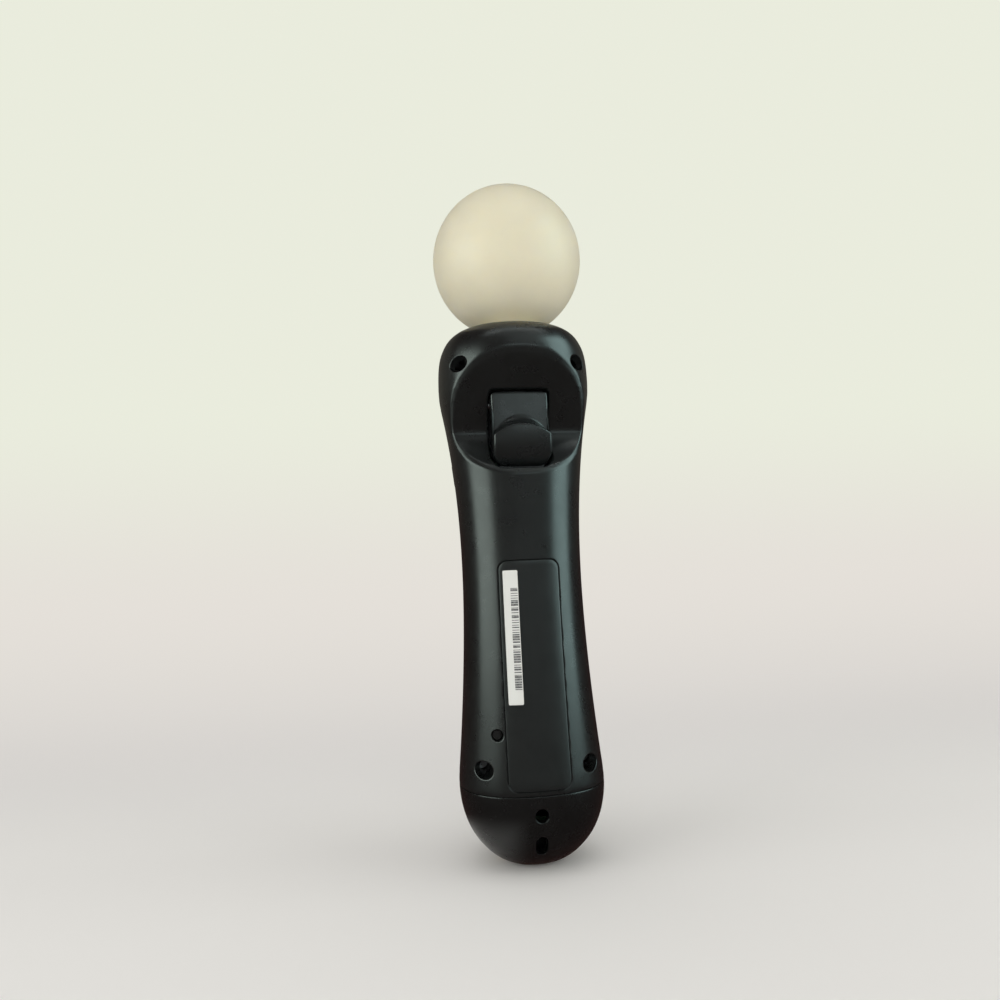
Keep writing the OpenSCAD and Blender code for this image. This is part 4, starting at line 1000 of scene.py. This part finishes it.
@dataclass(frozen=True)
class ButtonPlan:
    """Where a button sits in the front, which way it moves and its outline."""

    node: str
    origin: Point
    axis: Point
    across: Point
    outline: Array
    proud: float = 1.0
    edge: float = 0.5
    depth: float = 3.6
    crown: float = 0.0

    def hole(self, gap: float = 0.3) -> Opening:
        """Returns the hole that the button moves in."""
        wider = grown(self.outline, gap)
        return Opening(self.origin, self.axis, self.across, wider, mouth=0.25, reach=2.3)

    def build(self, casing: Outline) -> Piece:
        """Returns the button as a closed piece whose top follows the casing."""
        seat = Opening(self.origin, self.axis, self.across, self.outline)
        axis, r = np.array(self.axis), self.edge
        size = np.linalg.norm(self.outline, axis=1).max()

        def ring(flat: Array, drop: float) -> Array:
            """Returns a ring of points below the button's top."""
            spots = seat.place(flat)
            dome = self.crown * (1.0 - (np.linalg.norm(flat, axis=1) / size) ** 2)
            far = casing.hit(spots, axis) + self.proud - self.crown + dome - drop
            return spots + far[:, None] * axis

        inner = grown(self.outline, -r)
        rings = [ring(inner * s, 0.0) for s in np.linspace(0.06, 1.0, 14)]
        for t in np.radians(np.linspace(15.0, 90.0, 6)):
            lip = grown(self.outline, -(r - r * math.sin(t)))
            rings.append(ring(lip, r - r * math.cos(t)))
        rings.append(ring(self.outline, self.proud + self.depth))
        rings += [ring(self.outline * s, self.proud + self.depth) for s in (0.6, 0.1)]
        piece = ball_skin(self.node, np.array(rings))
        soften(piece)
        return piece


@dataclass(frozen=True)
class Front:
    """Where the buttons and the status light of the front and sides are."""

    main_z: float = 125.0
    main_size: Pair = (12.621, 18.0)
    home_z: float = 104.0
    home_r: float = 4.0
    action_x: float = 12.8028
    action_z: Pair = (131.5, 118.5)
    action_r: float = 3.2915
    action_tilt: float = 26.0
    side_spot: Point = (16.0, -4.0, 110.0)
    side_size: Pair = (3.0, 7.0)
    light_z: float = 95.0
    light_r: float = 1.05

    def facing(self, casing: Outline) -> list[ButtonPlan]:
        """Returns the plans of the large button and the home button."""
        plans = []
        for node, z, shape, edge, crown in (
            ("main_button", self.main_z, stadium_outline(*self.main_size), 0.9, 0.15),
            ("home_button", self.home_z, circle_outline(self.home_r, 72), 0.6, 0.1),
        ):
            spot = (0.0, casing.skin(0, z, False), z)
            plans.append(ButtonPlan(node, spot, TO_FRONT, FRONT_ACROSS, shape, edge=edge, crown=crown))
        return plans

    def slanted(self, casing: Outline) -> list[ButtonPlan]:
        """Returns the plans of the four small round buttons."""
        tilt = math.radians(self.action_tilt)
        spots = [(side * self.action_x, side, z) for side in (1.0, -1.0) for z in self.action_z]
        plans = []
        for k, (x, side, z) in enumerate(spots, 1):
            axis = (side * math.sin(tilt), -math.cos(tilt), 0.0)
            across = (math.cos(tilt), side * math.sin(tilt), 0.0)
            spot, shape = (x, casing.skin(x, z, False), z), circle_outline(self.action_r, 64)
            plans.append(ButtonPlan(f"action_button_{k}", spot, axis, across, shape, edge=0.55, crown=0.2))
        return plans

    def sideways(self, casing: Outline) -> list[ButtonPlan]:
        """Returns the plans of the start and select buttons."""
        x, y, z = self.side_spot
        plans = []
        for node, side in (("start_button", 1.0), ("select_button", -1.0)):
            axis, across = (side, 0.0, 0.0), (0.0, side, 0.0)
            far = float(casing.hit(np.array([[side * x, y, z]]), np.array(axis))[0])
            shape = stadium_outline(*self.side_size, 0.25)
            spot = (side * (x + far), y, z)
            plans.append(ButtonPlan(node, spot, axis, across, shape, proud=0.15, edge=0.4, depth=3.0))
        return plans

    def plans(self, casing: Outline) -> list[ButtonPlan]:
        """Returns the plans of all the buttons."""
        return self.facing(casing) + self.slanted(casing) + self.sideways(casing)

    def openings(self, casing: Outline) -> list[Opening]:
        """Returns the holes for the buttons and the status light."""
        spot = (0.0, casing.skin(0.0, self.light_z, False), self.light_z)
        light = Opening(spot, TO_FRONT, FRONT_ACROSS, circle_outline(self.light_r, 32), mouth=0.15)
        return [plan.hole() for plan in self.plans(casing)] + [light]


@dataclass(frozen=True)
class Label:
    """The long plate let into the back of the grip, and its white sticker."""

    width: float = 16.6
    height: float = 60.0
    middle: float = 52.8
    corner: float = 2.4
    gap: float = 0.26
    sunk: float = 0.3
    sticker_size: Pair = (4.0, 35.8)
    sticker_spot: Pair = (5.3, 62.4)

    def outside(self, x: Array, z: Array) -> Array:
        """Returns the distance outside the recess's outline."""
        half_w, half_h = self.width / 2 + self.gap, self.height / 2 + self.gap
        return rect_distance(x, z - self.middle, half_w, half_h, self.corner + self.gap)

    def recess(self, x: Array, z: Array) -> Array:
        """Returns how deep the casing is sunk under the plate."""
        return self.sunk * smooth_step(0.5 - self.outside(x, z) / 0.24)

    def film(
        self, name: str, casing: Outline, outline: Array, low: float, high: float, edge: float
    ) -> Piece:
        """Returns a thin plate that follows the back.

        Args:
            name: Name of the piece.
            casing: The casing that it lies on.
            outline: Its outline, sideways and in height.
            low: Height of its underside above the casing.
            high: Height of its face above the casing.
            edge: Radius of its edge.

        Returns:
            The closed piece.
        """
        middle = outline.mean(0)

        def ring(flat: Array, lift: float) -> Array:
            """Returns a ring of points above the casing."""
            y = casing.depth(flat[:, 0], flat[:, 1], True, groove=False) + lift
            return np.stack([flat[:, 0], y, flat[:, 1]], 1)

        inner = grown(outline, -edge)
        rings = [ring(middle + (inner - middle) * s, high) for s in np.linspace(0.03, 1.0, 26)]
        for t in np.radians([30.0, 60.0, 90.0]):
            lip = grown(outline, -(edge - edge * math.sin(t)))
            rings.append(ring(lip, high - edge + edge * math.cos(t)))
        rings += [ring(middle + (outline - middle) * s, low) for s in (1.0, 0.75, 0.5, 0.25, 0.03)]
        piece = ball_skin(name, np.array(rings))
        soften(piece)
        return piece

    def build(self, casing: Outline, finishes: Finishes) -> None:
        """Makes the plate and the sticker on it."""
        plate = round_outline(self.width, self.height, self.corner, 0.35) + np.array([0.0, self.middle])
        sticker = round_outline(*self.sticker_size, 0.35, 0.25) + np.array(self.sticker_spot)
        for node, slot, shape, heights in (
            ("label_plate", Slot.LABEL, plate, (-0.2, 0.08, 0.08)),
            ("bar_sticker", Slot.STICKER, sticker, (0.1, 0.2, 0.04)),
        ):
            finishes.dress(self.film(node, casing, shape, *heights), slot, "case", node)


@dataclass
class Casing:
    """The two halves of the casing and the cap that closes its lower end."""

    outline: Outline = field(default_factory=Outline)
    label: Label = field(default_factory=Label)
    front: Front = field(default_factory=Front)
    cap_top: float = 21.3
    cap_edge: float = 0.14
    cap_spigot: tuple[Pair, ...] = ((23.6, 2.15), (23.6, 3.35), (18.3, 3.35))
    cap_inside: tuple[float, ...] = (16.3, 12.0, 8.0, 5.0, 3.2, 2.4, 2.2)
    strap_z: float = 16.3

    def build(self, finishes: Finishes) -> None:
        """Makes the casing, its label and the cap."""
        holes = BackHoles().openings(self.outline)
        back = CasingHalf(self.outline, True, label=self.label, holes=holes)
        finishes.dress(back.build("back_shell"), Slot.CASE, "case", "back_shell")
        front = CasingHalf(self.outline, False, holes=self.front.openings(self.outline))
        finishes.dress(front.build("front_shell"), Slot.CASE, "case", "front_shell")
        self.label.build(self.outline, finishes)
        finishes.dress(self.cap(), Slot.CAP, "case", "bottom_cap")

    def cap_ring(self, z: float, inset: float, sides: int = 240) -> Array:
        """Returns one ring of the cap."""
        turn = np.arange(sides) * 2.0 * math.pi / sides
        height = np.full(sides, z)
        power = 2 / self.outline.section
        x = self.outline.half_size(height, 1.0, inset) * spow(np.cos(turn), power)
        back = self.outline.half_size(height, self.outline.back_share, inset)
        front = self.outline.half_size(height, self.outline.front_share, inset)
        y = np.where(np.sin(turn) > 0.0, back, front) * spow(np.sin(turn), power)
        return np.stack([x, y, height], 1)

    def cap_rings(self) -> Array:
        """Returns the cap's rings, from the middle of the foot round the edge to the middle inside."""
        o, r, power = self.outline, self.cap_edge, self.outline.bulb_power / 2
        dome = o.bulb_z - o.dome_z
        start, stop = (math.asin((h / dome) ** power) for h in (o.bulb_z - self.cap_top + 0.5, o.bulb_z))
        heights = [o.bulb_z - dome * math.sin(t) ** (1 / power) for t in np.linspace(start, stop, 64)[::-1]]
        foot = self.cap_ring(0.0, 0.0)
        rings = [foot * np.array([s, s, 1.0]) for s in (0.05, 0.3, 0.55, 0.75, 0.9, 0.97)]
        rings += [self.cap_ring(max(0.0, h), 0.0) for h in heights]
        for t in np.radians([15.0, 30.0, 45.0, 60.0, 75.0, 90.0]):
            rings.append(self.cap_ring(self.cap_top - r + r * math.sin(t), r - r * math.cos(t)))
        spigot = ((self.cap_top, self.cap_spigot[0][1]), *self.cap_spigot)
        rings += [self.cap_ring(z, inset) for z, inset in spigot]
        rings += [self.cap_ring(z, 2.0) for z in self.cap_inside]
        return np.array([*rings, rings[-1] * np.array([0.5, 0.5, 1.0])])

    def cap(self) -> Piece:
        """Returns the cap with its strap hole, slot and sockets."""
        piece = ball_skin("bottom_cap", self.cap_rings())
        strap = [
            Opening(spot, TO_BACK, BACK_ACROSS, shape, reach=reach)
            for spot, shape, reach in (
                ((0.0, 18.6, self.strap_z), circle_outline(1.8, 48), 2.6),
                ((0.0, 16.0, 7.9), stadium_outline(3.2, 5.4, 0.25), 4.5),
            )
        ]
        sockets = [
            Opening(spot, TO_FOOT, FRONT_ACROSS, shape, mouth=mouth)
            for spot, shape, mouth in (
                ((0.0, -8.0, 0.8), round_outline(8.1, 4.4, 0.5, 0.25), 0.2),
                ((0.0, 0.0, 0.0), round_outline(9.0, 4.8, 0.3, 0.25), 0.15),
                ((9.5, 0.0, 1.6), circle_outline(1.6, 36), 0.15),
                ((-9.5, 0.0, 1.6), circle_outline(1.6, 36), 0.15),
            )
        ]
        bores = [self.bore(hole) for hole in strap + sockets]
        cut_away(piece, prisms([spots * MM for spots, _ in bores], [step * MM for _, step in bores]))
        join(piece, [hole.liner("cap_mouth", self.outline) for hole in strap])
        soften(piece)
        return piece

    def bore(self, hole: Opening) -> tuple[Array, Array]:
        """Returns where a hole's cutting solid starts and how far it runs out through the wall."""
        spots = hole.place(grown(hole.outline, hole.mouth))
        axis = np.array(hole.axis)
        return spots - 7.0 * axis, 14.0 * axis


@dataclass
class LightBall:
    """The soft hollow ball with its neck and retaining flange."""

    radius: float = 22.995
    middle: float = 177.0
    skin: float = 1.8
    blend: Pair = (7.5, 155.257)
    steps: tuple[Pair, ...] = (
        (7.4, 154.95), (7.8, 154.6), (9.0, 154.2), (10.2, 153.7), (10.85, 153.2), (11.04, 152.6),
        (11.04, 147.2), (12.24, 147.2), (12.24, 145.4),
    )

    def build(self, finishes: Finishes) -> None:
        """Makes the ball from a sphere that is opened and drawn out into the neck."""
        ball = added(
            bpy.ops.mesh.primitive_uv_sphere_add, "light_ball",
            segments=128, ring_count=96, radius=self.radius * MM, location=(0, 0, self.middle * MM),
        )
        bpy.ops.object.transform_apply(location=True, rotation=True, scale=True)

        def draw_out() -> None:
            """Opens the ball below and draws its edge out step by step."""
            bpy.ops.mesh.bisect(
                plane_co=(0, 0, self.blend[1] * MM), plane_no=(0, 0, 1), clear_inner=True, use_fill=False
            )
            size, high = self.blend
            for wide, z in self.steps:
                bpy.ops.mesh.extrude_edges_move(TRANSFORM_OT_translate={"value": (0, 0, (z - high) * MM)})
                bpy.ops.transform.resize(value=(wide / size, wide / size, 1.0))
                size, high = wide, z

        edit(ball, draw_out)
        face_outward(ball)
        pick(ball)
        wall = ball.modifiers.new("skin", "SOLIDIFY")
        wall.thickness = self.skin * MM
        wall.offset = -1.0
        bpy.ops.object.modifier_apply(modifier=wall.name)
        face_outward(ball)
        soften(ball, 40.0)
        finishes.dress(ball, Slot.BALL, "case", "light_ball")


@dataclass
class Trigger:
    """The trigger: a plate that scoops out to a bowed crest, with a round chin below."""

    half: float = 8.25
    top: float = 131.6
    top_round: float = 0.9
    face_y: float = 13.9
    chin: Pair = (11.4, 120.3)
    chin_r: float = 7.2
    chin_rise: float = 8.0
    chin_drop: float = 10.8
    chin_power: float = 2.3
    chin_bow: float = 0.014
    crest_z: float = 121.2
    crest_round: float = 0.8
    crest_bow: float = 0.042
    scoop: float = 3.2
    scoop_least: float = 0.7
    plate_bow: float = 0.006
    inner_y: float = 10.4
    pivot: Pair = (9.0, 128.5)
    corner_top: float = 1.2
    corner_low: float = 4.0
    side_round: float = 0.6
    barrel_r: float = 2.4
    barrel_length: float = 4.7
    barrel_x: float = 6.03
    arm_start: float = 1.58
    arm_overlap: float = 0.6
    arm_z: float = 114.0
    arm_size: Pair = (4.0, 2.4)
    lip_spot: Point = (0.0, 11.7, 109.1)
    lip_size: Point = (12.6, 2.4, 2.8)

    def swell(self, z: float) -> float:
        """Returns how far the chin reaches out at a height, as a share of its radius."""
        span = self.chin_rise if z > self.chin[1] else self.chin_drop
        return (1.0 - (abs(z - self.chin[1]) / span) ** self.chin_power) ** (1.0 / self.chin_power)

    def profile(self, x: float) -> Array:
        """Returns the outline at a sideways place, as depth and height.

        Args:
            x: Sideways place.

        Returns:
            The points, from the top of the back over the face and round the chin.
        """
        cy, cz = self.chin
        crest_z = self.crest_z - self.crest_bow * x * x
        face = self.face_y - self.plate_bow * x * x
        fall = self.chin_bow * x * x
        crest_y = cy + self.chin_r * self.swell(crest_z) - fall
        reach = self.scoop_least + self.scoop * max(0.0, 1.0 - (x / self.half) ** 2)
        r, tip = self.top_round, self.crest_round
        turn = np.radians(np.linspace(90.0, 0.0, 9))
        edge = [(face - r + r * math.cos(t), self.top - r + r * math.sin(t)) for t in turn]
        plate = [(face, z) for z in np.linspace(self.top - r, crest_z + reach, 22)[1:-1]]
        swing = np.radians(np.linspace(0.0, 78.0, 22))
        ledge = (crest_y - tip - face) / (1.0 - math.cos(swing[-1]))
        scoop = [(face + ledge * (1.0 - math.cos(t)), crest_z + reach * (1.0 - math.sin(t))) for t in swing]
        over = np.radians(np.linspace(78.0, 16.0, 9))
        crest = [(crest_y - tip + tip * math.cos(t), crest_z - tip + tip * math.sin(t)) for t in over]
        chin = []
        for z in cz + np.linspace(crest[-1][1] - 0.3 - cz, -0.985 * self.chin_drop, 48):
            out = self.swell(z)
            chin.append((cy + self.chin_r * out - fall * min(1.0, 1.6 * out), z))
        low = chin[-1][1]
        back = [(self.inner_y, z) for z in np.linspace(low + 0.5, self.top - r, 12)]
        return np.array([*edge, *plate, *scoop, *crest, *chin, *back])

    def half_width(self, z: Array) -> Array:
        """Returns the half width at a height, with the rounded corners."""
        low = self.chin[1] - self.chin_drop
        below = np.clip(low + self.corner_low - z, 0.0, self.corner_low)
        above = np.clip(z - self.top + self.corner_top, 0.0, self.corner_top)
        lower = self.corner_low - np.sqrt(np.maximum(self.corner_low**2 - below**2, 0.0))
        upper = self.corner_top - np.sqrt(np.maximum(self.corner_top**2 - above**2, 0.0))
        return self.half - 0.92 * np.maximum(lower, upper)

    def body(self) -> Piece:
        """Returns the plate, crest and chin as a closed piece."""
        close = self.side_round * (1.0 - np.cos(np.radians([8.0, 22.0, 36.0, 50.0, 64.0, 78.0])))
        stations = np.concatenate([close, np.linspace(self.side_round, 2 * self.half - self.side_round, 56)])
        stations = np.unique(np.round(np.concatenate([stations, 2 * self.half - close]), 4))
        rings = []
        for s in stations:
            x = float(s - self.half)
            line = self.profile(x)
            normal = outward(line[::-1])[::-1]
            fall = float(rounding(np.array(min(s, 2 * self.half - s)), self.side_round))
            spot = line - normal * fall
            wide = self.half_width(line[:, 1]) / self.half
            rings.append(np.stack([x * wide, spot[:, 0], spot[:, 1]], 1))
        return ball_skin("trigger", np.array(rings))

    def build(self, finishes: Finishes) -> None:
        """Makes the trigger with the barrel that turns on the pin, the arm behind it and the lip below."""
        body = self.body()
        extras = []
        for x in (-1.0, 1.0):
            extras.append(added(
                bpy.ops.mesh.primitive_cylinder_add, "barrel",
                vertices=48, radius=self.barrel_r * MM, depth=self.barrel_length * MM,
                rotation=(0, math.pi / 2, 0),
                location=(x * self.barrel_x * MM, self.pivot[0] * MM, self.pivot[1] * MM),
            ))
            bpy.ops.object.transform_apply(location=True, rotation=True, scale=True)
        reach = self.inner_y + self.arm_overlap - self.arm_start
        wide, thick = self.arm_size
        arm = ("arm", (0.0, self.arm_start + reach / 2, self.arm_z), (wide, reach, thick))
        for name, spot, size in (arm, ("lip", self.lip_spot, self.lip_size)):
            block = added(bpy.ops.mesh.primitive_cube_add, name, size=1, location=[c * MM for c in spot])
            block.scale = [c * MM for c in size]
            bpy.ops.object.transform_apply(location=True, rotation=True, scale=True)
            extras.append(block)
        join(body, extras)
        soften(body, 40.0)
        finishes.dress(body, Slot.TRIGGER, "trigger", "trigger")


@dataclass
class Buttons:
    """The press buttons of the front and sides."""

    casing: Outline
    front: Front

    def build(self, finishes: Finishes) -> None:
        """Makes every button on its own body."""
        for plan in self.front.plans(self.casing):
            finishes.dress(plan.build(self.casing), Slot.BUTTON, plan.node, plan.node)


class Insides:
    """The pieces that keep their plain solids: fasteners, boards, battery, motor and sockets."""

    def dress(self, finishes: Finishes) -> None:
        """Gives every remaining node its finish."""
        for part in frame["record"]["subparts"]:
            slot = Slot(part["material_slot"])
            finishes.give(frame["nodes"][part["node"]], slot)
            LOG.info("%s: finished as %s", part["node"], slot.value)


# Stage, light and camera


class Light(Enum):
    """What a lamp is for."""

    FILL = "fill"
    SHEEN = "sheen"


@dataclass(frozen=True)
class Lamp:
    """A soft lamp that faces the middle of the wand."""

    name: str
    use: Light
    spot: Point
    size: Pair
    power: float
    colour: Colour = (1.0, 1.0, 1.0)

    def build(self) -> None:
        """Adds the lamp: fill lights matt surfaces, sheen shows in glossy ones."""
        data = bpy.data.lights.new(self.name, "AREA")
        data.shape = "RECTANGLE"
        data.size, data.size_y = self.size
        data.energy = self.power
        data.color = self.colour
        lamp = bpy.data.objects.new(self.name, data)
        bpy.context.scene.collection.objects.link(lamp)
        lamp.location = self.spot
        lamp.rotation_euler = (Vector(self.spot) - Vector((0, 0, 0.1))).to_track_quat("Z", "Y").to_euler()
        lamp.visible_glossy = self.use is Light.SHEEN
        lamp.visible_diffuse = self.use is Light.FILL
        lamp.visible_camera = False


@dataclass
class Studio:
    """A pale sweep behind the wand and soft light round it."""

    floor: Colour = (0.90, 0.885, 0.872)
    # Painted light and shade: the emitted backdrop darkens from the pale high wall through the pinkish shaded
    # low wall to the far floor.
    far_floor: Colour = (0.65, 0.63, 0.61)
    shaded_low_wall: Colour = (0.78, 0.745, 0.695)
    high_wall: Colour = (0.82, 0.838, 0.725)
    eye: Pair = (0.207, 0.075)
    # Painted dark reflection: the colours that the wand's gloss sees in the paper and the room.
    dark: Colour = (0.055, 0.030, 0.027)
    dusk: Colour = (0.16, 0.15, 0.125)
    glow: Colour = (0.97, 0.97, 0.93)
    glow_power: float = 0.46
    sweep_size: Pair = (6.0, 3.4)
    sweep_near: float = 0.75
    sweep_flat: float = 1.4
    sweep_bend: float = 0.5
    lamps: tuple[Lamp, ...] = (
        Lamp("overhead", Light.FILL, (0.05, 0.10, 0.8), (0.8, 0.8), 1.15),
        Lamp("front_fill", Light.FILL, (0.05, 0.75, 0.30), (0.7, 0.7), 0.85, (1.0, 0.98, 0.94)),
        Lamp("low_fill", Light.FILL, (0.05, 0.55, 0.07), (0.6, 0.1), 0.95, (1.0, 0.98, 0.94)),
        Lamp("left_fill", Light.FILL, (0.70, 0.25, 0.30), (0.6, 0.6), 1.7, (1.0, 0.99, 0.95)),
        Lamp("right_fill", Light.FILL, (-0.70, 0.25, 0.30), (0.6, 0.6), 1.7, (0.98, 1.0, 0.97)),
        Lamp("left_window", Light.SHEEN, (0.552, 0.234, 0.235), (0.50, 0.41), 2.9, (0.84, 1.0, 0.92)),
        Lamp("right_window", Light.SHEEN, (-0.547, 0.244, 0.28), (0.42, 0.80), 4.5, (0.70, 1.0, 0.98)),
        Lamp("rear_window", Light.SHEEN, (-0.24, 1.13, 0.50), (0.70, 0.30), 1.05, (0.80, 1.0, 1.0)),
        Lamp("rear_glow", Light.SHEEN, (0.0, 1.20, 0.10), (1.4, 0.5), 0.36, (0.80, 1.0, 1.0)),
        Lamp("ceiling", Light.SHEEN, (-0.24, 0.55, 0.80), (0.6, 0.4), 0.4, (0.85, 1.0, 0.98)),
        Lamp("strip", Light.SHEEN, (-0.05, 0.30, 1.05), (0.9, 0.06), 0.9, (0.9, 1.0, 0.98)),
    )

    def sweep(self) -> Piece:
        """Returns the floor that runs up into the backdrop."""
        cells = {"x_subdivisions": 8, "y_subdivisions": 60}
        stage = added(bpy.ops.mesh.primitive_grid_add, "sweep", size=1, **cells)
        flat = places(stage)
        wide, long = self.sweep_size
        bend, start = self.sweep_bend, self.sweep_flat
        run = (flat[:, 1] + 0.5) * long
        turn = np.clip((run - start) / bend, 0.0, math.pi / 2)
        past = np.maximum(run - start - bend * math.pi / 2, 0.0)
        y = self.sweep_near - np.minimum(run, start) - bend * np.sin(turn)
        z = bend * (1.0 - np.cos(turn)) + past
        move(stage, np.stack([flat[:, 0] * wide, y, z], 1))
        soften(stage, 60.0)
        return stage

    def paper(self) -> Material:
        """Returns the sweep's paper: matt near the wand; behind it an emitted tone with painted light and
        shade, darker on the low wall and far floor; a painted dark reflection in gloss.
        """
        paint = Paint("sweep_paper")
        where = paint.coordinates()
        split = paint.add("SeparateXYZ", {"Vector": where})
        path = paint.add("LightPath")

        def ramp(value: Socket, start: float, stop: float) -> Socket:
            """Returns a soft step between two values."""
            sockets = {"Value": value, "From Min": start, "From Max": stop}
            return paint.add("MapRange", sockets, interpolation_type="SMOOTHSTEP").outputs[0]

        def mix(share: Socket, a: bpy.types.Node, b: bpy.types.Node) -> bpy.types.Node:
            """Returns a mixture of two shaders."""
            return paint.add("MixShader", {0: share, 1: a.outputs[0], 2: b.outputs[0]})

        x, y, z = split.outputs
        away = paint.add("VectorMath", {0: where}, operation="LENGTH").outputs[1]
        near = paint.add("BsdfDiffuse", {"Color": (*self.floor, 1.0)})
        # Painted dark reflection: glossy rays see this dark emission instead of the paper.
        painted_reflection_tone = paint.blend(ramp(z, 0.10, 0.42), self.dark, self.dusk)
        painted_reflection = paint.add("Emission", {"Color": painted_reflection_tone, "Strength": 1.0})
        rise = paint.maths("SUBTRACT", z, self.eye[1])
        span = paint.maths("ABSOLUTE", paint.maths("SUBTRACT", self.eye[0], y))
        height = paint.maths("DIVIDE", rise, span)
        # Painted light and shade: the backdrop's emitted tone darkens from the high wall down to the shaded
        # low wall and far floor.
        ground = paint.blend(ramp(height, -0.30, 0.02), self.far_floor, self.shaded_low_wall)
        painted_backdrop_tone = paint.blend(ramp(height, -0.02, 0.28), ground, self.high_wall)
        pale = paint.add("Emission", {"Color": painted_backdrop_tone, "Strength": 1.0})
        # Glossy rays see the real lit floor only close to the wand on one side; elsewhere they see the
        # painted dark reflection.
        lit = paint.maths("MULTIPLY", ramp(away, 0.042, 0.020), ramp(x, 0.002, 0.016))
        unlit = paint.maths("SUBTRACT", 1.0, lit)
        seen = mix(paint.maths("MULTIPLY", path.outputs["Is Glossy Ray"], unlit), near, painted_reflection)
        behind = paint.maths("MULTIPLY", path.outputs["Is Camera Ray"], ramp(height, -0.32, -0.14))
        return paint.finish(mix(behind, seen, pale))

    def room(self) -> None:
        """Lights the wand softly from all round, pale behind it and dark in its gloss."""
        world = bpy.data.worlds.new("room")
        bpy.context.scene.world = world
        world.use_nodes = True
        tree = world.node_tree
        path = tree.nodes.new("ShaderNodeLightPath")
        shown = tree.nodes["Background"]
        shown.inputs["Color"].default_value = (*self.glow, 1.0)
        shown.inputs["Strength"].default_value = self.glow_power
        for ray, colour in (("Is Glossy Ray", self.dark), ("Is Camera Ray", self.high_wall)):
            tint, mixed = tree.nodes.new("ShaderNodeBackground"), tree.nodes.new("ShaderNodeMixShader")
            tint.inputs["Color"].default_value = (*colour, 1.0)
            tree.links.new(path.outputs[ray], mixed.inputs[0])
            tree.links.new(shown.outputs[0], mixed.inputs[1])
            tree.links.new(tint.outputs[0], mixed.inputs[2])
            shown = mixed
        tree.links.new(shown.outputs[0], tree.nodes["World Output"].inputs["Surface"])

    def build(self) -> None:
        """Makes the sweep, the lamps and the light from all round."""
        stage = self.sweep()
        stage.data.materials.append(self.paper())
        stage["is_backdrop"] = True
        for lamp in self.lamps:
            lamp.build()
        self.room()
        bpy.context.scene.view_settings.view_transform = "Standard"


@dataclass
class PhotoCamera:
    """The camera that sees the wand as the photo does."""

    focus: float = 700.0
    picture: float = 1000.0
    sensor: float = 36.0
    lean: float = 7.38
    roll: float = 2.57
    yaw: float = 6.30
    offset: Point = (9.878, -100.796, 197.937)

    def build(self) -> None:
        """Adds the camera and makes it the scene's."""
        lean, roll, yaw = (math.radians(a) for a in (self.lean, self.roll, self.yaw))
        flat = Vector((math.cos(yaw), math.sin(yaw), 0.0))
        rise = Vector((-math.sin(yaw) * math.sin(lean), math.cos(yaw) * math.sin(lean), math.cos(lean)))
        right = math.cos(roll) * flat - math.sin(roll) * rise
        up = math.sin(roll) * flat + math.cos(roll) * rise
        back = Vector((-math.sin(yaw) * math.cos(lean), math.cos(yaw) * math.cos(lean), -math.sin(lean)))
        spot = -self.offset[0] * right - self.offset[1] * up + self.offset[2] * back
        axes = [Vector((-v.x, v.y, v.z)) for v in (right, up, back, spot * MM)]
        data = bpy.data.cameras.new("photo_camera")
        data.sensor_width = self.sensor
        data.lens = self.sensor * self.focus / self.picture
        data.clip_start = 0.005
        camera = bpy.data.objects.new("photo_camera", data)
        bpy.context.scene.collection.objects.link(camera)
        camera.matrix_world = Matrix([[v[k] for v in axes] for k in range(3)] + [[0, 0, 0, 1]])
        bpy.context.scene.camera = camera


def corners() -> list[list[float]]:
    """Returns the lowest and highest corner of what is shown."""
    return [[float(c) for c in corner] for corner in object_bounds()]


def main() -> None:
    """Makes every piece in order, dresses the rest and sets up the picture."""
    logging.basicConfig(level=logging.INFO, format="%(name)s: %(message)s")
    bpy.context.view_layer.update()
    finishes = Finishes()
    Insides().dress(finishes)
    LightBall().build(finishes)
    casing = Casing()
    casing.build(finishes)
    Trigger().build(finishes)
    Buttons(casing.outline, casing.front).build(finishes)
    Studio().build()
    PhotoCamera().build()


if __name__ == "__main__":
    main()
